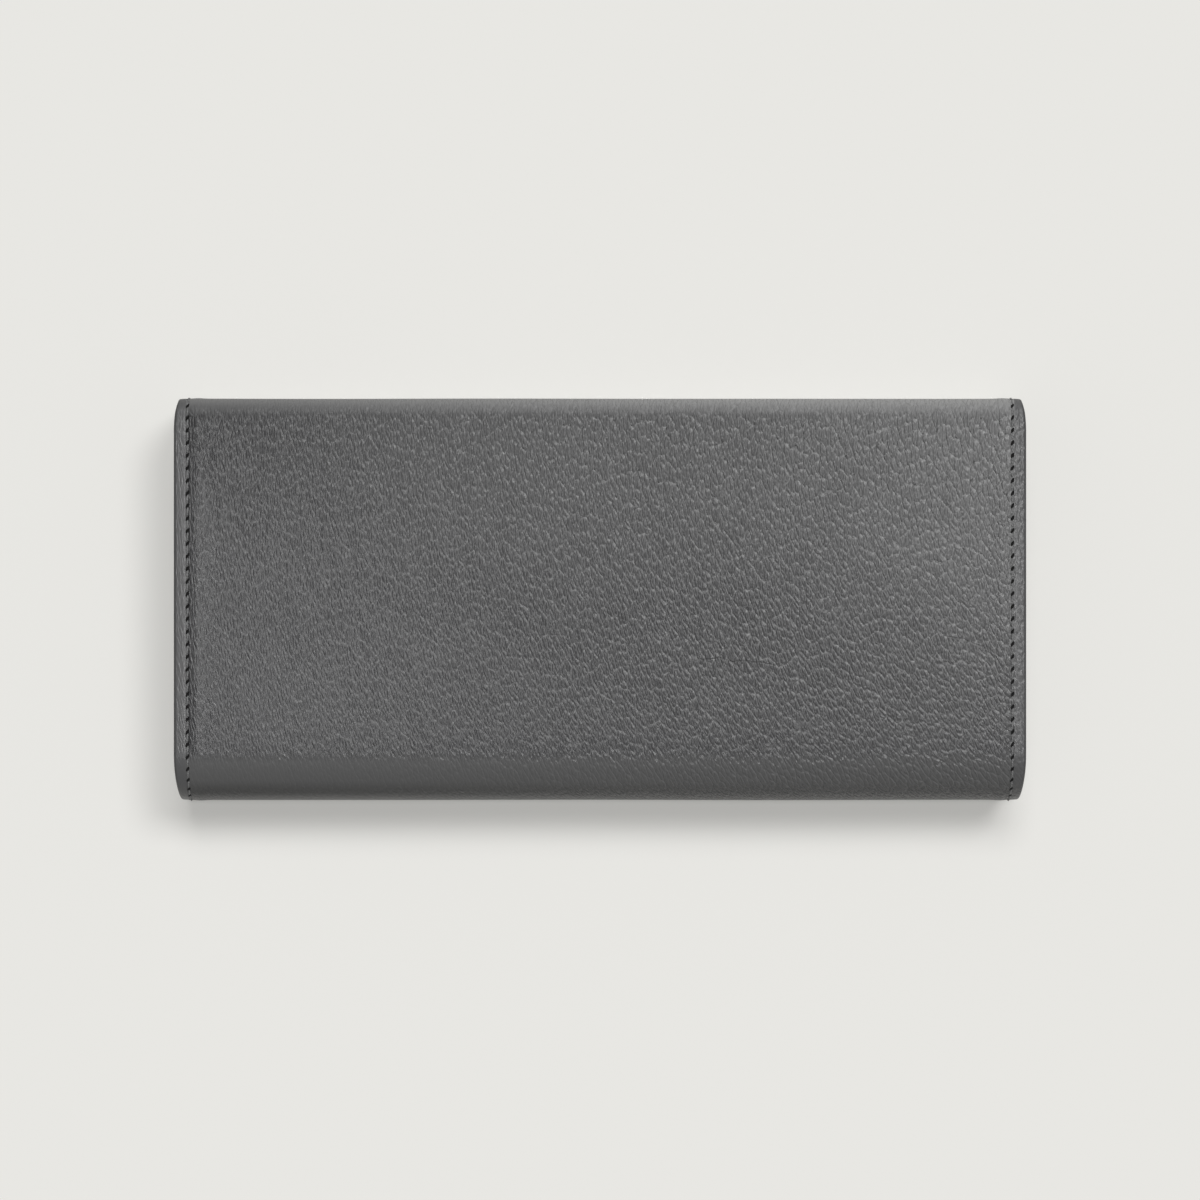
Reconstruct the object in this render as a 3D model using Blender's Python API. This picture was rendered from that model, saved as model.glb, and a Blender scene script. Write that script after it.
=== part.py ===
"""Continental wallet: a long flap-over wallet in soft grained leather, lying closed on its flap.

Metres, +Z up. The plain back faces up and the flap faces the floor. X runs along the width, Y from
the round body fold to the flap fold, and the origin is on the floor under the middle.
"""
import math

import bmesh
import bpy
from mathutils import Matrix

# Overall size
WALLET_WIDTH = 0.190
WALLET_HEIGHT = 0.090
WALLET_THICKNESS = 0.025

# Sheets, from the outer leather inwards
COVER_THICKNESS = 0.0012
STIFFENER_THICKNESS = 0.0003
LINING_THICKNESS = 0.0004
SLOT_THICKNESS = 0.00035
GUSSET_THICKNESS = 0.0004
SHEET_GAP = 0.00015
CUT_GAP = 0.0003
FLAP_CLEARANCE = 0.0007

# Folds of the outer leather
CREASE_RADIUS = 0.0035
CREASE_STEPS = 4
FOLD_STEPS = 24
FOLD_DRAW_IN = 0.0008
CREASE_DRAW_LENGTH = 0.007
FOLD_DRAW_LENGTH = 0.010
DRAW_STEPS = 3

# Outlines of the flat sheets
FLAP_SHORTFALL = 0.001
FLAP_SIDE_INSET = 0.0005
FLAP_CORNER_RADIUS = 0.008
FRONT_TOP_CLEARANCE = 0.0073
LEAF_CORNER_RADIUS = 0.003
STIFFENER_INSET = 0.004
LINING_INSET = 0.0015
CORNER_STEPS = 5

# Card slots and slip pocket
CARD_ROWS = 4
CARD_ROW_DROP = 0.0045
CARD_ROW_STEP = 0.0085
CARD_SIDE_INSET = 0.0045
SLIP_POCKET_DROP = 0.014
SLOT_CORNER_RADIUS = 0.002

# Coin bag
COIN_ROOM = 0.0042
COIN_WALL = 0.0006
COIN_BAG_LENGTH = 0.167
COIN_BAG_DROP = 0.004
COIN_BAG_RADIUS = 0.0018
BEND_STEPS = 4

# Zip chain
TAPE_THICKNESS = 0.0004
TAPE_END_INSET = 0.0055
TAPE_SKIRT = 0.006
TAPE_BEND_RADIUS = 0.0005
TAPE_EDGE_CLOSED = 0.0004
TAPE_EDGE_OPEN = 0.0012
TOOTH_PITCH = 0.0022
TOOTH_WIDTH = 0.0008
TOOTH_NOSE_WIDTH = 0.0004
TOOTH_REACH = 0.00065
TOOTH_TAPER = 0.00035
TOOTH_ROOT = 0.0007
TOOTH_HEIGHT = 0.0018
CHAIN_END_INSET = 0.0115
STOP_LENGTH = 0.0018
STOP_PLATE = 0.0005
STOP_WEB = 0.0005
STOP_GAP = 0.0005

# Zip slider and its pull
SLIDER_INSET = 0.0175
SLIDER_LENGTH = 0.009
SLIDER_SHOULDER = 0.0035
SLIDER_PLATE = 0.00075
SLIDER_FLANGE = 0.00045
SLIDER_PLAY = 0.0002
TAPE_SLOT_PLAY = 0.00025
DIAMOND_LENGTH = 0.0034
DIAMOND_WIDTH = 0.0006
DIAMOND_INSET = 0.0003
CROWN_LENGTH = 0.0056
CROWN_WIDTH = 0.0012
CROWN_FOOT = 0.0008
CROWN_STRAP = 0.0005
CROWN_ROOM = 0.0013
PULL_LENGTH = 0.013
PULL_WIDTH = 0.0042
PULL_THICKNESS = 0.0008
PULL_ARM = 0.0009
PULL_EYE_LENGTH = 0.0036
PULL_BAR_RADIUS = 0.00045
PULL_HOLE_RADIUS = 0.0007
PULL_CLEARANCE = 0.0025

# Gussets
GUSSET_SIDE_INSET = 0.0045
GUSSET_TUCK = 0.0045
GUSSET_BAG_LAP = 0.0005
GUSSET_ROUND = 0.0006
GUSSET_END_DROP = 0.0015

# Press stud
SNAP_INSET = 0.012
SNAP_PLAY = 0.0003
CAP_RADIUS = 0.0052
CAP_TUBE_RADIUS = 0.0036
CAP_TUBE_WALL = 0.0004
SOCKET_RADIUS = 0.0052
SOCKET_BORE_RADIUS = 0.0030
SOCKET_THICKNESS = 0.00025
SOCKET_COLLAR_WALL = 0.00035
SOCKET_COLLAR_DEPTH = 0.0005
SPRING_WIDTH = 0.0003
SPRING_HEIGHT = 0.0004
SPRING_SPLIT_ANGLE = 30
STUD_HEAD_RADIUS = 0.00235
STUD_HEAD_HEIGHT = 0.0004
STUD_NECK_RADIUS = 0.0020
STUD_FLANGE_RADIUS = 0.0038
STUD_FLANGE_HEIGHT = 0.00045
STUD_CHAMFER = 0.0002
POST_SHANK_RADIUS = 0.00095
POST_DISC_RADIUS = 0.0036
TURNED_STEPS = 32
SMALL_TURNED_STEPS = 12

# One overrun for every cut that runs out through a face
OVERRUN = 0.001

# Levels through the thickness, worked out from the sheets
cover_top = WALLET_THICKNESS
back_stiffener_top = cover_top - COVER_THICKNESS - SHEET_GAP
back_lining_top = back_stiffener_top - STIFFENER_THICKNESS - SHEET_GAP
first_row_top = back_lining_top - LINING_THICKNESS - SHEET_GAP
row_pitch = SLOT_THICKNESS + SHEET_GAP
last_row_face = first_row_top - (CARD_ROWS - 1) * row_pitch - SLOT_THICKNESS
flap_stiffener_base = COVER_THICKNESS + SHEET_GAP
flap_lining_base = flap_stiffener_base + STIFFENER_THICKNESS + SHEET_GAP
front_base = flap_lining_base + LINING_THICKNESS + FLAP_CLEARANCE
front_stiffener_base = front_base + COVER_THICKNESS + SHEET_GAP
front_lining_base = front_stiffener_base + STIFFENER_THICKNESS + SHEET_GAP
slip_pocket_base = front_lining_base + LINING_THICKNESS + SHEET_GAP
slip_pocket_face = slip_pocket_base + SLOT_THICKNESS
leaf_middle = (slip_pocket_face + last_row_face) / 2

# Folds, seen from the end
fold_radius = (cover_top - front_base) / 2
fold_z = front_base + fold_radius
fold_y = fold_radius - WALLET_HEIGHT / 2
crease_y = WALLET_HEIGHT / 2 - CREASE_RADIUS
upper_crease_z = cover_top - CREASE_RADIUS
lower_crease_z = CREASE_RADIUS
hinge_reach = CREASE_RADIUS * math.cos(math.pi / 4)
spine_hinge = (0, crease_y + hinge_reach, upper_crease_z + hinge_reach)
flap_hinge = (0, crease_y + hinge_reach, lower_crease_z - hinge_reach)
leaf_hinge = (0, fold_y, front_base)
cut_angle = CUT_GAP / 2 / CREASE_RADIUS
spine_inner_y = WALLET_HEIGHT / 2 - COVER_THICKNESS
spine_lining_y = spine_inner_y - SHEET_GAP
front_top_y = spine_inner_y - FRONT_TOP_CLEARANCE
lining_top_y = crease_y - LINING_INSET
flap_edge_y = fold_y + FLAP_SHORTFALL
leaf_edge_y = fold_y + CUT_GAP
snap_y = flap_edge_y + SNAP_INSET

# Zip, worked out from the coin bag's length and the room that its pull needs under the spine
bag_half_length = COIN_BAG_LENGTH / 2
tape_half_length = bag_half_length - TAPE_END_INSET
chain_start = bag_half_length - CHAIN_END_INSET
slider_place = bag_half_length - SLIDER_INSET
tooth_half_height = TOOTH_HEIGHT / 2
slider_half_height = tooth_half_height + SLIDER_PLAY + SLIDER_PLATE
pivot_rise = slider_half_height + CROWN_ROOM / 2
zip_y = spine_lining_y - LINING_THICKNESS - PULL_CLEARANCE - PULL_LENGTH - pivot_rise
pull_y = zip_y + pivot_rise
channel_rear = TAPE_EDGE_CLOSED + TOOTH_ROOT + SLIDER_PLAY
channel_front = TAPE_EDGE_OPEN + TOOTH_ROOT + SLIDER_PLAY
slider_rear = channel_rear + SLIDER_FLANGE
slider_front = channel_front + SLIDER_FLANGE
bag_half = COIN_ROOM / 2 + COIN_WALL
skirt_inner = max(slider_front, bag_half) + SHEET_GAP
skirt_outer = skirt_inner + TAPE_THICKNESS
bag_top_y = zip_y - slider_half_height - CUT_GAP
bag_bottom_y = fold_y - COIN_BAG_DROP

FINISHES = {
    "outer_leather": ((0.125, 0.125, 0.125), 0.55, 0.0),
    "lining_leather": ((0.085, 0.085, 0.087), 0.62, 0.0),
    "lining_fabric": ((0.060, 0.060, 0.063), 0.85, 0.0),
    "board": ((0.42, 0.38, 0.32), 0.9, 0.0),
    "nickel": ((0.62, 0.61, 0.59), 0.28, 1.0),
    "zip_tape": ((0.045, 0.045, 0.048), 0.9, 0.0),
}


def finish_material(name):
    """The Principled material of one finish, made the first time that it is asked for."""
    if name in bpy.data.materials:
        return bpy.data.materials[name]
    colour, roughness, metallic = FINISHES[name]
    material = bpy.data.materials.new(name)
    material.use_nodes = True
    shader = material.node_tree.nodes["Principled BSDF"]
    shader.inputs["Base Color"].default_value = (*colour, 1)
    shader.inputs["Roughness"].default_value = roughness
    shader.inputs["Metallic"].default_value = metallic
    return material


def add_object(name, mesh_data, finish):
    """A named object for one piece, with a material of its own."""
    mesh = bpy.data.meshes.new(name)
    bmesh.ops.recalc_face_normals(mesh_data, faces=mesh_data.faces)
    mesh_data.to_mesh(mesh)
    mesh_data.free()
    piece = bpy.data.objects.new(name, mesh)
    bpy.context.scene.collection.objects.link(piece)
    material = finish_material(finish).copy()
    material.name = name
    mesh.materials.append(material)
    return piece


def loft(name, rings, finish):
    """A closed solid through rings of as many points each, with a flat cap at both ends."""
    work = bmesh.new()
    loops = [[work.verts.new(point) for point in ring] for ring in rings]
    count = len(loops[0])
    for near, far in zip(loops, loops[1:]):
        for index in range(count):
            after = (index + 1) % count
            work.faces.new((near[index], near[after], far[after], far[index]))
    work.faces.new(loops[0])
    work.faces.new(loops[-1])
    return add_object(name, work, finish)


def prism(name, outline, axis, low, high, finish):
    """An outline extruded along an axis. The outline is in the other two axes, in their order."""
    place = {
        "X": lambda point, depth: (depth, point[0], point[1]),
        "Y": lambda point, depth: (point[0], depth, point[1]),
        "Z": lambda point, depth: (point[0], point[1], depth),
    }[axis]
    rings = [[place(point, depth) for point in outline] for depth in (low, high)]
    return loft(name, rings, finish)


def turned(name, profile, centre_y, finish, steps=TURNED_STEPS):
    """A profile of (radius, z) points spun round an upright axis at x = 0."""
    work = bmesh.new()
    points = [work.verts.new((radius, centre_y, z)) for radius, z in profile]
    edges = [work.edges.new(pair) for pair in zip(points, points[1:])]
    if profile[0][0] > 0:
        edges.append(work.edges.new((points[-1], points[0])))
    bmesh.ops.spin(
        work, geom=points + edges, cent=(0, centre_y, 0), axis=(0, 0, 1),
        angle=math.tau, steps=steps,
    )
    bmesh.ops.remove_doubles(work, verts=work.verts, dist=SHEET_GAP / 100)
    piece = add_object(name, work, finish)
    piece.data.shade_smooth()
    piece.data.set_sharp_from_angle(angle=math.radians(35))
    return piece


def combine(piece, other, operation):
    """A live Boolean of one piece with another, which is then only a guide."""
    other.hide_render = True
    other.display_type = "WIRE"
    change = piece.modifiers.new(other.name, "BOOLEAN")
    change.operation = operation
    change.object = other
    change.solver = "EXACT"


def hang(names, axis_name, place, parent=None):
    """An empty on a joint's axis, with the pieces that move about it as its children."""
    axis = bpy.data.objects.new(axis_name, None)
    bpy.context.scene.collection.objects.link(axis)
    carrier_place = (0, 0, 0)
    if parent:
        axis.parent = parent
        carrier_place = parent["joint_place"]
    axis.location = [here - there for here, there in zip(place, carrier_place)]
    axis["joint_place"] = place
    for name in names:
        piece = bpy.data.objects[name]
        piece.parent = axis
        piece.matrix_parent_inverse = Matrix.Translation([-value for value in place])
    return axis


def arc(centre, radius, first, last, steps):
    """Points on an arc in a plane, each with its outward direction, from one angle to another."""
    stations = []
    for index in range(steps + 1):
        angle = first + (last - first) * index / steps
        facing = (math.cos(angle), math.sin(angle))
        point = (centre[0] + radius * facing[0], centre[1] + radius * facing[1])
        stations.append((point, facing))
    return stations


def bend(points, radius, steps):
    """A path of straight legs with rounded bends, as points with the direction to their left."""
    stations = []
    for index, point in enumerate(points):
        before = points[max(index - 1, 0)]
        after = points[min(index + 1, len(points) - 1)]
        way_in = math.atan2(point[1] - before[1], point[0] - before[0])
        way_out = math.atan2(after[1] - point[1], after[0] - point[0])
        if index == 0:
            way_in = way_out
        if index == len(points) - 1:
            way_out = way_in
        turn = math.remainder(way_out - way_in, math.tau)
        if abs(turn) < cut_angle / 10:
            stations.append((point, (-math.sin(way_in), math.cos(way_in))))
            continue
        side = math.copysign(1, turn)
        reach = radius * math.tan(abs(turn) / 2)
        start = (point[0] - reach * math.cos(way_in), point[1] - reach * math.sin(way_in))
        left = (-math.sin(way_in), math.cos(way_in))
        centre = (start[0] + side * radius * left[0], start[1] + side * radius * left[1])
        for step in range(steps + 1):
            heading = way_in + turn * step / steps
            left = (-math.sin(heading), math.cos(heading))
            on_arc = (centre[0] - side * radius * left[0], centre[1] - side * radius * left[1])
            stations.append((on_arc, left))
    return stations


def strip_outline(stations, thickness):
    """The closed outline of a strip with its middle on a path."""
    half = thickness / 2
    left = [(p[0] + n[0] * half, p[1] + n[1] * half) for p, n in stations]
    right = [(p[0] - n[0] * half, p[1] - n[1] * half) for p, n in stations]
    return left + right[::-1]


def half_width_at(y):
    """Half the outer leather's width, drawn in a little where it turns over a fold."""
    to_crease = (y - WALLET_HEIGHT / 2 + CREASE_DRAW_LENGTH) / CREASE_DRAW_LENGTH
    to_fold = (FOLD_DRAW_LENGTH - WALLET_HEIGHT / 2 - y) / FOLD_DRAW_LENGTH
    share = min(max(to_crease, to_fold, 0), 1)
    return WALLET_WIDTH / 2 - FOLD_DRAW_IN * share * share


def between(first, last, steps):
    """Places from one to another in even steps, both ends among them."""
    return [first + (last - first) * index / steps for index in range(steps + 1)]


def sheet(name, stations, thickness, finish):
    """A sheet that runs along a section, from its outer face inwards, as wide as each station says.

    A station is a point and an outward direction in the YZ plane, and half a width.
    """
    rings = []
    for (y, z), (facing_y, facing_z), half_width in stations:
        inner_y = y - facing_y * thickness
        inner_z = z - facing_z * thickness
        rings.append([
            (-half_width, y, z), (half_width, y, z),
            (half_width, inner_y, inner_z), (-half_width, inner_y, inner_z),
        ])
    return loft(name, rings, finish)


def corner_rows(edge_y, into, half_width, radius):
    """Rows of (y, half width) that round off the two corners of an edge, from the edge inwards."""
    rows = []
    for angle in between(math.pi / 2, 0, CORNER_STEPS):
        row_y = edge_y + into * radius * (1 - math.sin(angle))
        rows.append((row_y, half_width - radius * (1 - math.cos(angle))))
    return rows


def flat_sheet(name, low_y, high_y, base_z, thickness, half_width, low_radius, high_radius, finish):
    """A flat sheet between two edges, each with its own corner radius. Zero leaves it square."""
    low = corner_rows(low_y, 1, half_width, low_radius) if low_radius else [(low_y, half_width)]
    high = corner_rows(high_y, -1, half_width, high_radius) if high_radius else [(high_y, half_width)]
    top = base_z + thickness
    stations = [((y, top), (0, 1), width) for y, width in low + high[::-1]]
    return sheet(name, stations, thickness, finish)


def cut_hole(piece, radius, low_z, high_z, steps=TURNED_STEPS):
    """A round hole or recess on the press stud's axis."""
    profile = [(0, low_z), (radius, low_z), (radius, high_z), (0, high_z)]
    tool = turned(piece.name + "_hole_" + str(len(piece.modifiers)), profile, snap_y, "board", steps)
    combine(piece, tool, "DIFFERENCE")


def make_outer_leather():
    """The outer leather in its four parts: back and body fold, spine strip, flap, and front."""
    quarter = math.pi / 2
    mitre = math.pi / 4
    draw_rows = between(crease_y, WALLET_HEIGHT / 2 - CREASE_DRAW_LENGTH, DRAW_STEPS)[1:]

    back = arc((crease_y, upper_crease_z), CREASE_RADIUS, mitre + cut_angle, quarter, CREASE_STEPS)
    back += [((y, cover_top), (0, 1)) for y in draw_rows]
    back += arc((fold_y, fold_z), fold_radius, quarter, 3 * quarter, FOLD_STEPS)
    stations = [(point, facing, half_width_at(point[0])) for point, facing in back]
    sheet("back_cover", stations, COVER_THICKNESS, "outer_leather")

    spine = arc((crease_y, lower_crease_z), CREASE_RADIUS, cut_angle - mitre, 0, CREASE_STEPS)
    spine += arc((crease_y, upper_crease_z), CREASE_RADIUS, 0, mitre - cut_angle, CREASE_STEPS)
    stations = [(point, facing, half_width_at(point[0])) for point, facing in spine]
    sheet("spine_cover", stations, COVER_THICKNESS, "outer_leather")

    flap = arc((crease_y, lower_crease_z), CREASE_RADIUS, -mitre - cut_angle, -quarter, CREASE_STEPS)
    flap += [((y, 0), (0, -1)) for y in draw_rows]
    stations = [(point, facing, half_width_at(point[0]) - FLAP_SIDE_INSET) for point, facing in flap]
    flap_half_width = WALLET_WIDTH / 2 - FLAP_SIDE_INSET
    edge_rows = corner_rows(flap_edge_y, 1, flap_half_width, FLAP_CORNER_RADIUS)[::-1]
    stations += [((y, 0), (0, -1), width) for y, width in edge_rows]
    sheet("flap_cover", stations, COVER_THICKNESS, "outer_leather")

    front = flat_sheet(
        "front_cover", leaf_edge_y, front_top_y, front_base, COVER_THICKNESS,
        WALLET_WIDTH / 2 - FLAP_SIDE_INSET, 0, LEAF_CORNER_RADIUS, "outer_leather",
    )
    dimple_top = front_base + STUD_FLANGE_HEIGHT
    cut_hole(front, STUD_FLANGE_RADIUS + SHEET_GAP, front_base - OVERRUN, dimple_top)
    cut_hole(front, POST_SHANK_RADIUS + SHEET_GAP, front_base, front_base + COVER_THICKNESS + OVERRUN,
             SMALL_TURNED_STEPS)


def make_stiffeners():
    """Thin board between the leather and the lining of the back, the flap and the front."""
    half_width = WALLET_WIDTH / 2 - STIFFENER_INSET
    low_y = fold_y + STIFFENER_INSET
    flat_sheet(
        "back_stiffener", low_y, lining_top_y, back_stiffener_top - STIFFENER_THICKNESS,
        STIFFENER_THICKNESS, half_width, LEAF_CORNER_RADIUS, LEAF_CORNER_RADIUS, "board",
    )
    flap = flat_sheet(
        "flap_stiffener", flap_edge_y + STIFFENER_INSET, lining_top_y, flap_stiffener_base,
        STIFFENER_THICKNESS, half_width, FLAP_CORNER_RADIUS, LEAF_CORNER_RADIUS, "board",
    )
    cut_hole(flap, CAP_RADIUS + SNAP_PLAY, 0, flap_lining_base)
    front = flat_sheet(
        "front_stiffener", low_y, front_top_y - STIFFENER_INSET, front_stiffener_base,
        STIFFENER_THICKNESS, half_width, LEAF_CORNER_RADIUS, LEAF_CORNER_RADIUS, "board",
    )
    cut_hole(front, POST_DISC_RADIUS + SNAP_PLAY, front_base, front_lining_base)


def make_linings():
    """The lining: one sheet down the back and round the body fold, and one each elsewhere."""
    half_width = WALLET_WIDTH / 2 - LINING_INSET
    radius = back_lining_top - fold_z
    stations = [((lining_top_y, back_lining_top), (0, 1), half_width)]
    for point, facing in arc((fold_y, fold_z), radius, math.pi / 2, 3 * math.pi / 2, FOLD_STEPS):
        stations.append((point, facing, half_width_at(point[0]) - LINING_INSET))
    sheet("back_lining", stations, LINING_THICKNESS, "lining_fabric")

    low_z = lower_crease_z + LINING_INSET
    high_z = upper_crease_z - LINING_INSET
    stations = [((spine_lining_y, z), (1, 0), half_width_at(crease_y + CREASE_RADIUS) - LINING_INSET)
                for z in (low_z, high_z)]
    sheet("spine_lining", stations, LINING_THICKNESS, "lining_leather")

    flap = flat_sheet(
        "flap_lining", flap_edge_y + LINING_INSET, lining_top_y, flap_lining_base,
        LINING_THICKNESS, half_width, FLAP_CORNER_RADIUS, LEAF_CORNER_RADIUS, "lining_leather",
    )
    collar_outer = CAP_TUBE_RADIUS + SHEET_GAP + SOCKET_COLLAR_WALL
    cut_hole(flap, collar_outer + SHEET_GAP, 0, front_base)
    flat_sheet(
        "front_lining", leaf_edge_y, front_top_y - LINING_INSET, front_lining_base,
        LINING_THICKNESS, half_width, 0, LEAF_CORNER_RADIUS, "lining_fabric",
    )


def make_card_slots():
    """Stepped rows for cards on the back lining, and a long slip pocket on the front one."""
    half_width = WALLET_WIDTH / 2 - CARD_SIDE_INSET
    for index in range(CARD_ROWS):
        top_y = lining_top_y - CARD_ROW_DROP - index * CARD_ROW_STEP
        base_z = first_row_top - index * row_pitch - SLOT_THICKNESS
        flat_sheet(
            "card_slot_row_" + str(index + 1), flap_edge_y, top_y, base_z, SLOT_THICKNESS,
            half_width, 0, SLOT_CORNER_RADIUS, "lining_leather",
        )
    flat_sheet(
        "front_slip_pocket", flap_edge_y, front_top_y - SLIP_POCKET_DROP, slip_pocket_base,
        SLOT_THICKNESS, half_width, 0, SLOT_CORNER_RADIUS, "lining_leather",
    )


def make_coin_bag():
    """The bag for coins: one folded wall with its sides sewn shut, open along its top edge."""
    bottom = bag_bottom_y
    middle = leaf_middle

    def section(top, low, half, radius):
        """The bag's section at some half width, with round lower corners."""
        path = [(top, middle + half), (low, middle + half), (low, middle - half), (top, middle - half)]
        return [point for point, facing in bend(path, radius, BEND_STEPS)]

    outer = section(bag_top_y, bottom, bag_half, COIN_BAG_RADIUS)
    inner = section(bag_top_y + OVERRUN, bottom + COIN_WALL, COIN_ROOM / 2, COIN_BAG_RADIUS - COIN_WALL)
    bag = prism("coin_bag", outer, "X", -bag_half_length, bag_half_length, "lining_leather")
    room_end = bag_half_length - COIN_WALL
    room = prism("coin_room", inner, "X", -room_end, room_end, "board")
    combine(bag, room, "DIFFERENCE")


def tape_edge_at(x):
    """How far a tape's edge lies from the chain's middle: close when zipped, apart past the slider."""
    share = min(max((x - slider_place) / (2 * SLIDER_SHOULDER) + 0.5, 0), 1)
    return TAPE_EDGE_CLOSED + (TAPE_EDGE_OPEN - TAPE_EDGE_CLOSED) * share


def make_zip_tape(name, side):
    """One tape: flat beside the teeth, then turned down over the bag's wall where it is sewn."""
    skirt_middle = (skirt_inner + skirt_outer) / 2
    middle_radius = TAPE_BEND_RADIUS + TAPE_THICKNESS / 2
    rings = []
    shoulder_places = between(slider_place - SLIDER_SHOULDER, slider_place + SLIDER_SHOULDER, 1)
    for x in [-tape_half_length] + shoulder_places + [tape_half_length]:
        path = [(zip_y, tape_edge_at(x)), (zip_y, skirt_middle), (zip_y - TAPE_SKIRT, skirt_middle)]
        outline = strip_outline(bend(path, middle_radius, BEND_STEPS), TAPE_THICKNESS)
        rings.append([(x, y, leaf_middle + side * across) for y, across in outline])
    return loft(name, rings, "zip_tape")


def make_teeth(name, side, first_x):
    """One row of teeth, each clamped on the tape's edge with its nose past the middle."""
    work = bmesh.new()
    count = math.floor((slider_place + SLIDER_SHOULDER - first_x) / TOOTH_PITCH) + 1
    half = TOOTH_WIDTH / 2
    nose = TOOTH_NOSE_WIDTH / 2
    outline = [
        (-half, TOOTH_ROOT), (half, TOOTH_ROOT), (half, TOOTH_TAPER - TOOTH_REACH),
        (nose, -TOOTH_REACH), (-nose, -TOOTH_REACH), (-half, TOOTH_TAPER - TOOTH_REACH),
    ]
    for index in range(count):
        x = first_x + index * TOOTH_PITCH
        edge = tape_edge_at(x)
        loops = []
        for y in (zip_y - tooth_half_height, zip_y + tooth_half_height):
            ring = [(x + along, y, leaf_middle + side * (edge + across)) for along, across in outline]
            loops.append([work.verts.new(point) for point in ring])
        for corner in range(len(outline)):
            after = (corner + 1) % len(outline)
            work.faces.new((
                loops[0][corner], loops[0][after], loops[1][after], loops[1][corner],
            ))
        work.faces.new(loops[0])
        work.faces.new(loops[1])
    return add_object(name, work, "nickel")


def make_zip_chain():
    """Both halves of the chain, their teeth half a pitch apart so that they mesh."""
    for name, side, shift in (("zip_chain_front", -1, 0), ("zip_chain_back", 1, TOOTH_PITCH / 2)):
        tape = make_zip_tape(name, side)
        teeth = make_teeth(name + "_teeth", side, shift - chain_start)
        combine(tape, teeth, "UNION")


def make_zip_stops():
    """A stop across both tapes at the shut end of the chain, and one on each tape at the other."""
    near = TAPE_THICKNESS / 2 + SHEET_GAP
    far = near + STOP_PLATE
    web = TAPE_EDGE_CLOSED - SHEET_GAP
    wing = TAPE_EDGE_CLOSED + TOOTH_ROOT
    outline = [
        (far, -wing), (far, wing), (near, wing), (near, web), (-near, web), (-near, wing),
        (-far, wing), (-far, -wing), (-near, -wing), (-near, -web), (near, -web), (near, -wing),
    ]
    outline = [(zip_y + up, leaf_middle + across) for up, across in outline]
    high_x = -chain_start - TOOTH_WIDTH / 2 - STOP_GAP
    prism("zip_bottom_stop", outline, "X", high_x - STOP_LENGTH, high_x, "nickel")

    low_x = slider_place + SLIDER_LENGTH / 2 + STOP_GAP
    inner = TAPE_EDGE_OPEN - SHEET_GAP
    outer = TAPE_EDGE_OPEN + TOOTH_ROOT
    clip = [
        (far, inner - STOP_WEB), (far, outer), (near, outer), (near, inner),
        (-near, inner), (-near, outer), (-far, outer), (-far, inner - STOP_WEB),
    ]
    for name, side in (("zip_top_stop_front", -1), ("zip_top_stop_back", 1)):
        outline = [(zip_y + up, leaf_middle + side * across) for up, across in clip]
        prism(name, outline, "X", low_x, low_x + STOP_LENGTH, "nickel")


def slider_plan(rear, front, overrun, middle_z):
    """The slider's plan: narrow at the rear, wide at the shoulders, seen along the Y axis."""
    low = slider_place - SLIDER_LENGTH / 2 - overrun
    high = slider_place + SLIDER_LENGTH / 2 + overrun
    rear_x = slider_place - SLIDER_SHOULDER
    front_x = slider_place + SLIDER_SHOULDER
    half = [(low, rear), (rear_x, rear), (front_x, front), (high, front)]
    upper = [(x, middle_z + across) for x, across in half]
    lower = [(x, middle_z - across) for x, across in half]
    return upper + lower[::-1]


def make_slider():
    """The slider: two plates joined by the wedge that parts the teeth, side flanges and a crown."""
    low_y = zip_y - slider_half_height
    high_y = zip_y + slider_half_height
    body = prism(
        "zip_slider", slider_plan(slider_rear, slider_front, 0, leaf_middle), "Y", low_y, high_y, "nickel",
    )
    channel_half = tooth_half_height + SLIDER_PLAY
    channel = prism(
        "slider_channel", slider_plan(channel_rear, channel_front, OVERRUN, leaf_middle), "Y",
        zip_y - channel_half, zip_y + channel_half, "board",
    )
    combine(body, channel, "DIFFERENCE")
    slot_half = TAPE_THICKNESS / 2 + TAPE_SLOT_PLAY
    slot = prism(
        "slider_slot", slider_plan(slider_front, slider_front + OVERRUN, OVERRUN, leaf_middle), "Y",
        zip_y - slot_half, zip_y + slot_half, "board",
    )
    combine(body, slot, "DIFFERENCE")

    tip = slider_place + SLIDER_LENGTH / 2 - DIAMOND_INSET
    widest = tip - DIAMOND_LENGTH / 3
    plan = [
        (tip, leaf_middle), (widest, leaf_middle + DIAMOND_WIDTH / 2),
        (tip - DIAMOND_LENGTH, leaf_middle), (widest, leaf_middle - DIAMOND_WIDTH / 2),
    ]
    wedge_half = (channel_half + slider_half_height) / 2
    wedge = prism("slider_wedge", plan, "Y", zip_y - wedge_half, zip_y + wedge_half, "nickel")
    combine(body, wedge, "UNION")

    half = CROWN_LENGTH / 2
    crest = high_y + CROWN_ROOM + CROWN_STRAP
    root = high_y - SLIDER_PLATE / 2
    inner_half = half - CROWN_FOOT
    section = [
        (slider_place - half, root), (slider_place - half, crest - CROWN_STRAP),
        (slider_place - inner_half, crest), (slider_place + inner_half, crest),
        (slider_place + half, crest - CROWN_STRAP), (slider_place + half, root),
        (slider_place + inner_half, root), (slider_place + inner_half, crest - CROWN_STRAP),
        (slider_place - inner_half, crest - CROWN_STRAP), (slider_place - inner_half, root),
    ]
    crown = prism(
        "slider_crown", section, "Z", leaf_middle - CROWN_WIDTH / 2, leaf_middle + CROWN_WIDTH / 2, "nickel",
    )
    combine(body, crown, "UNION")


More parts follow.
